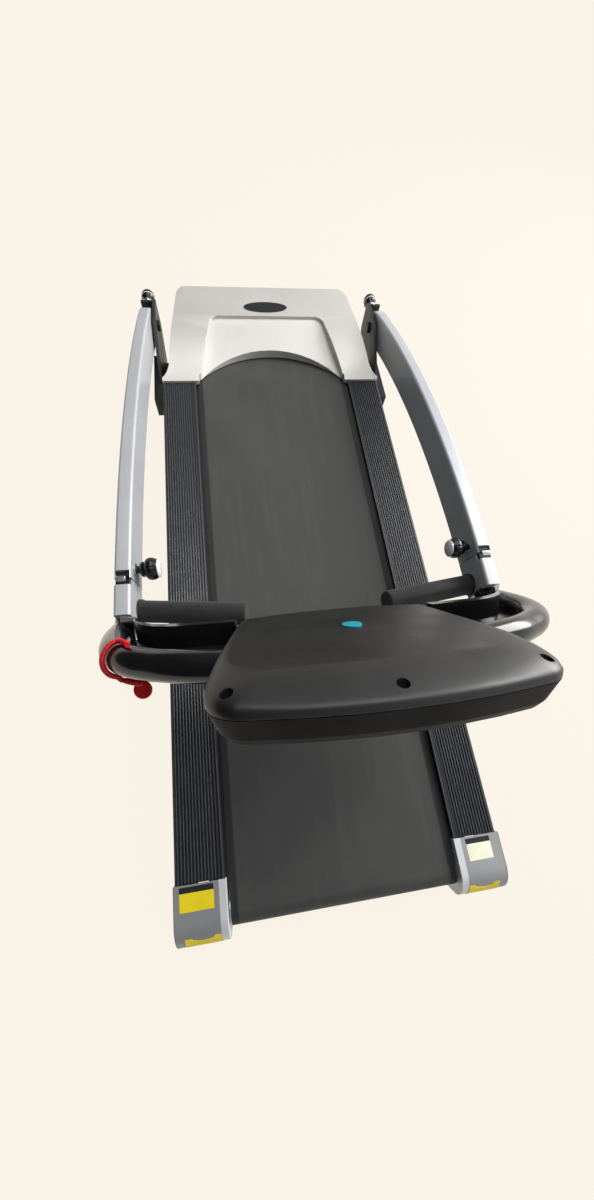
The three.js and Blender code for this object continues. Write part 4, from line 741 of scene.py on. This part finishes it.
def notch_lining(name, side, body, first, last):
    """Black floor of the elbow's notch, under its barrel."""
    middle = side * upright_middle(ELBOW[0])
    half = ARM_WIDTH / 2 - (ELBOW_NOTCH_WALL + LINING_GAP)
    corners = [(middle - half, first), (middle + half, first), (middle + half, last), (middle - half, last)]
    heights = (ELBOW_NOTCH_FLOOR + LINING_GAP, ELBOW_NOTCH_FLOOR + ELBOW_NOTCH_LINING_DEPTH)
    rings = [[(x, y, z) for x, y in corners] for z in heights]
    return finished(rings_joined(name, rings, "gloss", body), 30, 0.4)


def build_arm(name, side):
    """The lower part of an upright: a rounded tube on an arc, with a round eye at the pivot."""
    node = "arm_" + name
    body = NODES[node]["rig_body"]
    half = ARM_DEPTH / 2
    arc_steps, eye_steps = 56, 14
    start = ELBOW[0] + ELBOW_SEAM_GAP / 2
    lows, highs = (arm_arc(offset, start, PIVOT[0], arc_steps) for offset in (-half, half))
    rings = [section(side, y, low, high) for (y, low), (_, high) in zip(lows, highs)]
    rings[0] = leaning(rings[0])
    for step in range(1, eye_steps + 1):
        # The eye's last ring stops short of its very end, where a section would have no height.
        angle = math.pi / 2 * step / (eye_steps + 0.4)
        reach = half * math.cos(angle)
        rings.append(section(side, PIVOT[0] + half * math.sin(angle), PIVOT[1] - reach, PIVOT[1] + reach))
    arm = rings_joined("arm_tube_" + name, rings, "silver", body)
    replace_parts(notched(arm, "arm_notch_" + name, side, body, ARM_WIDTH / 2 - ELBOW_NOTCH_WALL), node)
    finished(arm, 30)
    seam_gap = 0.4
    last = ELBOW[0] + ELBOW_NOTCH_HALF - LINING_GAP
    notch_lining("arm_notch_lining_" + name, side, body, start + seam_gap, last)


def build_upper(name, side):
    """The upper part of an upright, from the elbow's seam to the handlebar."""
    node = "upper_section_" + name
    body = NODES[node]["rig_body"]
    half = ARM_DEPTH / 2
    arc_steps = 6
    start = ELBOW[0] - ELBOW_SEAM_GAP / 2
    lows, highs = (arm_arc(offset, UPPER_END, start, arc_steps) for offset in (-half, half))
    rings = [section(side, y, low, high) for (y, low), (_, high) in zip(lows, highs)]
    rings[-1] = leaning(rings[-1])
    upper = rings_joined("upper_tube_" + name, rings, "silver", body)
    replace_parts(notched(upper, "upper_notch_" + name, side, body, ARM_WIDTH), node)
    finished(upper, 30)
    seam_gap = 0.4
    first = ELBOW[0] - ELBOW_NOTCH_HALF + LINING_GAP
    notch_lining("upper_notch_lining_" + name, side, body, first, start - seam_gap)


def build_elbow_pin(name, side):
    """The bright barrel in the elbow's notch."""
    body = NODES["elbow_barrel_" + name]["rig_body"]
    barrel = [(0, 5), (0, 7.2), (1, 7.8), (16, 7.8), (17, 7.2), (17, 5)]
    base = (side * (upright_middle(ELBOW[0]) - ELBOW_PIN_INSET), *ELBOW)
    pin = turned("elbow_pin_" + name, barrel, "chrome", body, base, (side, 0, 0))
    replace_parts(finished(pin, 35), "elbow_barrel_" + name)


# ---------------------------------------------------------------- knobs and handlebars

def build_base_knob(name, side):
    """Ball knob at the foot of an upright, with its collar, ring and threaded stem."""
    body = NODES["base_knob_" + name]["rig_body"]
    base = (side * ARM_MIDDLE, BASE_KNOB_Y, PIVOT[1])
    forwards = (0, 1, 0)
    ball = [(-22, 11), (-19.5, 13)]
    for step in range(13):
        angle = math.radians(-44 + 134 * step / 12)
        ball.append((BASE_KNOB_RADIUS * math.sin(angle), BASE_KNOB_RADIUS * math.cos(angle)))
    knob = finished(turned("ball_knob_" + name, ball, "gloss", body, base, forwards), 50)
    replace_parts(knob, "base_knob_" + name)
    collar = [(-30, 9), (-30, 12.5), (-28.5, 13.5), (-23.5, 13.5), (-22.2, 12.5), (-22.2, 9)]
    finished(turned("ball_knob_collar_" + name, collar, "chrome", body, base, forwards), 30)
    ring = [(-7, 16.6), (-6.4, 18.3), (-4.6, 18.5), (-3.8, 18.0), (-3.6, 16.6)]
    finished(turned("ball_knob_ring_" + name, ring, "silver_disc", body, base, forwards), 30)
    stem = [(-76, 4.9), (-30, 4.9)]
    finished(turned("ball_knob_stem_" + name, stem, "chrome", body, base, forwards), 30)


def build_elbow_knob(name, side):
    """Fluted knob beside an elbow, with the bright disc on its end and the washer under it."""
    body = NODES["elbow_knob_" + name]["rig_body"]
    x, y, z = ELBOW_KNOB
    base = (side * x, y, z)
    inwards = (-side, 0, 0)
    r = ELBOW_KNOB_RADIUS
    profile = [(0, 7), (9, 7), (10, 12), (12, 14), (15, 14.5), (16, 12.5), (18, 12.5), (19, r - 5)]
    profile += [(19 + 20 * step / 10, r - 4 * (1 - step / 5) ** 2) for step in range(1, 10)]
    profile += [(39, r - 3.4), (40.5, r - 4.5), (40.5, 14)]
    grip = turned("fluted_knob_" + name, profile, "gloss", body, base, inwards,
                  sides=96, flutes=18, depth=0.04)
    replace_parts(finished(grip, 50), "elbow_knob_" + name)
    disc = [(39.5, 16.6), (41.5, 17), (43.2, 15.6), (44.7, 12), (45.6, 7), (ELBOW_KNOB_LENGTH, 2)]
    finished(turned("fluted_knob_disc_" + name, disc, "silver_disc", body, base, inwards), 50)
    washer = [(-0.2, 8), (-0.2, 11), (1.6, 11), (1.6, 8)]
    finished(turned("fluted_knob_washer_" + name, washer, "chrome", body, base, inwards), 30)


def build_handlebar(name, side):
    """A bent tube from the end of an upright into the console."""
    node = "handlebar_" + name
    bar = tube("handlebar_tube_" + name, handlebar_line(side), "gloss", NODES[node]["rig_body"],
               lambda run, angle: HANDLEBAR_RADIUS, 40)
    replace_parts(bar, node)
    finished(bar, 60)


# ---------------------------------------------------------------- console

def curve(points, steps):
    """Points of a Bezier curve of any degree, leaving out its first."""
    line = []
    for step in range(1, steps + 1):
        level = [Vector(point) for point in points]
        while len(level) > 1:
            level = [first.lerp(second, step / steps) for first, second in zip(level, level[1:])]
        line.append(level[0])
    return line


def console_outline():
    """Outline of the console in its own frame, anticlockwise from the foot's right corner."""
    half, side_y = CONSOLE_HALF, CONSOLE_SIDE_Y
    foot, foot_y = CONSOLE_FOOT_HALF, CONSOLE_FOOT_Y
    top = CONSOLE_TOP_Y - CONSOLE_TOP_BOW
    shoulder = half - CONSOLE_SHOULDER_INSET
    waist, waist_y = half - CONSOLE_SIDE_INSET, side_y * CONSOLE_SIDE_PULL
    corner, corner_y = half - CONSOLE_CORNER_INSET, top - CONSOLE_CORNER_DROP
    rise_y = side_y + CONSOLE_CORNER_RISE
    return [
        *curve([(foot, foot_y), (waist, waist_y), (half, side_y)], 18),
        *curve([(half, side_y), (half, rise_y), (corner, corner_y), (shoulder, top)], 14),
        *curve([(shoulder, top), (0, top + CONSOLE_TOP_BOW * 2), (-shoulder, top)], 28),
        *curve([(-shoulder, top), (-corner, corner_y), (-half, rise_y), (-half, side_y)], 14),
        *curve([(-half, side_y), (-waist, waist_y), (-foot, foot_y)], 18),
        *curve([(-foot, foot_y), (0, foot_y - CONSOLE_FOOT_BOW * 2), (foot, foot_y)], 28),
    ]


CONSOLE_TURN = Matrix.Rotation(math.radians(CONSOLE_TILT), 3, "X")


def from_console(x, y, z):
    """A point of the console's frame as a point of the deck frame."""
    return Vector(CONSOLE_ORIGIN) + CONSOLE_TURN @ Vector((x, y, z))


def console_crown(outline):
    """Rings over the console's back: a crowned middle, and a slope on the far side where it is widest."""
    middle = Vector(CONSOLE_MIDDLE)
    plateau, far_plateau_loss = 0.88, 0.20
    far_from, far_span = 0.35, 0.5
    slope_share = 0.62
    rim_start, rim_steps = 0.66, 20
    shares = [0.02, 0.3, 0.5, 0.62]
    shares += [rim_start + (1 - rim_start) * step / rim_steps for step in range(rim_steps + 1)]
    rings = []
    for share in shares:
        ring = []
        for edge in outline:
            away = edge - middle
            far = min(max((away.normalized().y - far_from) / far_span, 0), 1)
            start = plateau - far_plateau_loss * far
            t = min(max((share - start) / (1 - start), 0), 1)
            round_rim = 1 - math.sqrt(1 - t ** 2)
            slope = slope_share * t + (1 - slope_share) * round_rim
            crown = CONSOLE_CROWN * min(share / plateau, 1) ** 2
            depth = CONSOLE_RIM_DEPTH * (round_rim * (1 - far) + slope * far) + crown
            depth = min(depth, CONSOLE_RIM_DEPTH + CONSOLE_CROWN)
            ring.append(from_console(*(middle + away * share), depth))
        rings.append(ring)
    return rings


def console_rim(outline):
    """Rings down the console's side to its seam, with a small inward roll at the end."""
    middle = Vector(CONSOLE_MIDDLE)
    stations = ((1, CONSOLE_SEAM_Z - 1.2), (0.997, CONSOLE_SEAM_Z - 0.4), (0.98, CONSOLE_SEAM_Z - 0.3))
    return [[from_console(*(middle + (edge - middle) * share), depth) for edge in outline]
            for share, depth in stations]


def build_console_back():
    """The console's back half, with a screw at the bottom of each of its three round wells."""
    outline = console_outline()
    body = NODES["console_back"]["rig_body"]
    back = rings_joined("console_shell", console_crown(outline) + console_rim(outline), "console", body)
    facing = tuple(CONSOLE_TURN @ Vector((0, 0, -1)))
    reach = 18
    wells = []
    for x, y in SCREW_PLACES:
        profile = [(-reach, SCREW_WELL_RADIUS), (reach, SCREW_WELL_RADIUS)]
        base = from_console(x, y, SCREW_WELL_DEPTH - reach)
        wells.append(turned("well", profile, "console", body, base, facing, 32))
    carved(back, wells)
    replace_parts(back, "console_back")
    finished(back, 50)
    head = [(-3, 4.8), (0.6, 4.8), (1.4, 4.0), (1.6, 2.0), (0.6, 1.6), (0.6, 0.2)]
    for number, (x, y) in enumerate(SCREW_PLACES):
        name = "console_screw_" + str(number + 1)
        base = from_console(x, y, SCREW_HEAD_DEPTH)
        finished(turned(name, head, "steel", body, base, facing, 24), 35)


# ---------------------------------------------------------------- end-cap labels

def cap_label(name, side, across, along, look):
    """A thin plate on the flat top of an end cap, between two places across it and two along it."""
    (inner, outer), (rear, front) = across, along
    corners = ((inner, rear), (inner, front), (outer, front), (outer, rear))
    rings = [[(side * x, y, CAP_TOP + height) for x, y in corners] for height in (-LABEL_SINK, LABEL_LIFT)]
    body = NODES["end_cap_right"]["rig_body"]
    return finished(rings_joined(name, rings, look, body), 30, 0.15)


def nose_strip(name, side, across):
    """A strip bent over the rear nose of an end cap, with an arc cut out of its front edge."""
    centre = (CAP_REAR + CAP_NOSE_RADIUS, CAP_TOP - CAP_NOSE_RADIUS)
    steps, rows = 24, 6
    first_angle, last_angle = 12, 56
    arc_depth, arc_half = 9, 0.32
    points = []
    for lift in (0.6, -0.4):
        for step in range(steps + 1):
            share = step / steps
            arc = arc_depth * math.sqrt(max(0, 1 - ((share - 0.5) / arc_half) ** 2))
            for row in range(rows + 1):
                angle = math.radians(first_angle + (last_angle - arc - first_angle) * row / rows)
                reach = CAP_NOSE_RADIUS + lift
                points.append((side * (across[0] + (across[1] - across[0]) * share),
                               centre[0] - reach * math.cos(angle), centre[1] + reach * math.sin(angle)))
    sheet = (steps + 1) * (rows + 1)
    faces = []
    for step in range(steps):
        for row in range(rows):
            first = step * (rows + 1) + row
            around = (first, first + 1, first + rows + 2, first + rows + 1)
            faces.append(around)
            faces.append(tuple(sheet + index for index in reversed(around)))
    loop = list(range(rows + 1))
    loop += [step * (rows + 1) + rows for step in range(1, steps + 1)]
    loop += [steps * (rows + 1) + row for row in range(rows - 1, -1, -1)]
    loop += [step * (rows + 1) for step in range(steps - 1, 0, -1)]
    for first, second in zip(loop, loop[1:] + loop[:1]):
        faces.append((first, second, sheet + second, sheet + first))
    return finished(piece_from(name, points, faces, "yellow", NODES["end_cap_right"]["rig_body"]), 35)


def build_labels(name, side):
    """A dark band, a plain sheet behind it and a strip round the nose, on one end cap."""
    inner, outer = CAP_INNER + 22, CAP_INNER + (70 if side > 0 else 80)
    front, seam, rear = CAP_FRONT - 3, CAP_FRONT - 12, CAP_FRONT - 40
    cap_label("label_band_" + name, side, (inner, outer), (seam, front), "black_steel")
    cap_label("label_sheet_" + name, side, (inner, outer), (rear, seam), "label" if side > 0 else "yellow")
    nose_strip("nose_strip_" + name, side, (CAP_INNER + 14, CAP_INNER + 74))


for name, side in SIDES.items():
    build_arm(name, side)
    build_upper(name, side)
    build_elbow_pin(name, side)
for name, side in SIDES.items():
    build_base_knob(name, side)
    build_elbow_knob(name, side)
for name, side in SIDES.items():
    build_handlebar(name, side)
build_console_back()
for name, side in SIDES.items():
    build_labels(name, side)

# ---------------------------------------------------------------- carried-over shapes

for name in (*both("pivot_bracket"), *both("wheel_bracket"), "power_panel"):
    skin(name, bevel=0.8)
for name in (*both("transport_wheel"), *both("pivot_pin")):
    skin(name, bevel=0.5, sharp_angle=40)
for name in (*both("rear_foot"), *both("front_foot"), *both("foam_grip")):
    skin(name, bevel=0.8, sharp_angle=40)
skin("hood", bevel=2.5, segments=3, sharp_angle=38)
for name in both("end_cap"):
    skin(name, bevel=5.0, segments=4, sharp_angle=38)
for name in (*both("wing"), "console_face"):
    skin(name, bevel=0.6, sharp_angle=40)

# ---------------------------------------------------------------- floor and lights

FLOOR_COLOUR = (1.0, 0.94, 0.838)
FLOOR_LIT_COLOUR = (0.42, 0.395, 0.35)
FLOOR_GLOW = 0.93
FLOOR_ROUGHNESS = 0.9
FLOOR_REACH = 30
SKY_COLOUR = (0.95, 0.97, 1, 1)
SKY_FALL = {"From Min": -0.5, "From Max": 0.8, "To Min": 0.08, "To Max": 0.85}


def build_floor():
    """A pale floor whose camera view is part lit and part its own colour, so its shadow stays soft."""
    mesh = bpy.data.meshes.new("floor")
    corners = [(x * FLOOR_REACH, y * FLOOR_REACH, 0) for x, y in ((-1, -1), (1, -1), (1, 1), (-1, 1))]
    mesh.from_pydata(corners, [], [(0, 1, 2, 3)])
    floor = bpy.data.objects.new("floor", mesh)
    bpy.context.scene.collection.objects.link(floor)
    material = bpy.data.materials.new("floor")
    material.use_nodes = True
    tree = material.node_tree
    shader = tree.nodes["Principled BSDF"]
    shader.inputs["Base Color"].default_value = (*FLOOR_LIT_COLOUR, 1)
    shader.inputs["Roughness"].default_value = FLOOR_ROUGHNESS
    glow = tree.nodes.new("ShaderNodeEmission")
    glow.inputs["Color"].default_value = (*FLOOR_COLOUR, 1)
    rays = tree.nodes.new("ShaderNodeLightPath")
    seen = rays.outputs["Is Camera Ray"]
    for kind in ("Is Glossy Ray", "Is Transmission Ray"):
        either = tree.nodes.new("ShaderNodeMath")
        either.operation = "MAXIMUM"
        tree.links.new(seen, either.inputs[0])
        tree.links.new(rays.outputs[kind], either.inputs[1])
        seen = either.outputs[0]
    share = tree.nodes.new("ShaderNodeMath")
    share.operation = "MULTIPLY"
    share.inputs[1].default_value = FLOOR_GLOW
    tree.links.new(seen, share.inputs[0])
    mix = tree.nodes.new("ShaderNodeMixShader")
    tree.links.new(share.outputs[0], mix.inputs[0])
    tree.links.new(shader.outputs[0], mix.inputs[1])
    tree.links.new(glow.outputs[0], mix.inputs[2])
    tree.links.new(mix.outputs[0], tree.nodes["Material Output"].inputs["Surface"])
    mesh.materials.append(material)


def build_lights():
    """Soft daylight: a sky that is brighter to the right, a broad low window there and an overhead fill."""
    world = bpy.data.worlds.new("sky")
    bpy.context.scene.world = world
    world.use_nodes = True
    background = world.node_tree.nodes["Background"]
    background.inputs["Color"].default_value = SKY_COLOUR
    tree = world.node_tree
    facing = tree.nodes.new("ShaderNodeSeparateXYZ")
    tree.links.new(tree.nodes.new("ShaderNodeTexCoord").outputs["Generated"], facing.inputs[0])
    fall = tree.nodes.new("ShaderNodeMapRange")
    for socket, value in SKY_FALL.items():
        fall.inputs[socket].default_value = value
    tree.links.new(facing.outputs["X"], fall.inputs["Value"])
    tree.links.new(fall.outputs["Result"], background.inputs["Strength"])
    lamps = (
        ("window", (2.3, 0.7, 1.3), (0.1, 0.0, 0.2), 1.6, 96, (1, 0.985, 0.96)),
        ("overhead", (0.3, 1.1, 3.0), (0, 0.1, 0.1), 2.2, 38, (1, 0.99, 0.97)),
    )
    for name, place, aim, size, power, colour in lamps:
        data = bpy.data.lights.new(name, "AREA")
        data.size = size
        data.energy = power
        data.color = colour
        lamp = bpy.data.objects.new(name, data)
        lamp.location = place
        lamp.rotation_mode = "QUATERNION"
        lamp.rotation_quaternion = (Vector(aim) - Vector(place)).to_track_quat("-Z", "Y")
        bpy.context.scene.collection.objects.link(lamp)


build_floor()
build_lights()
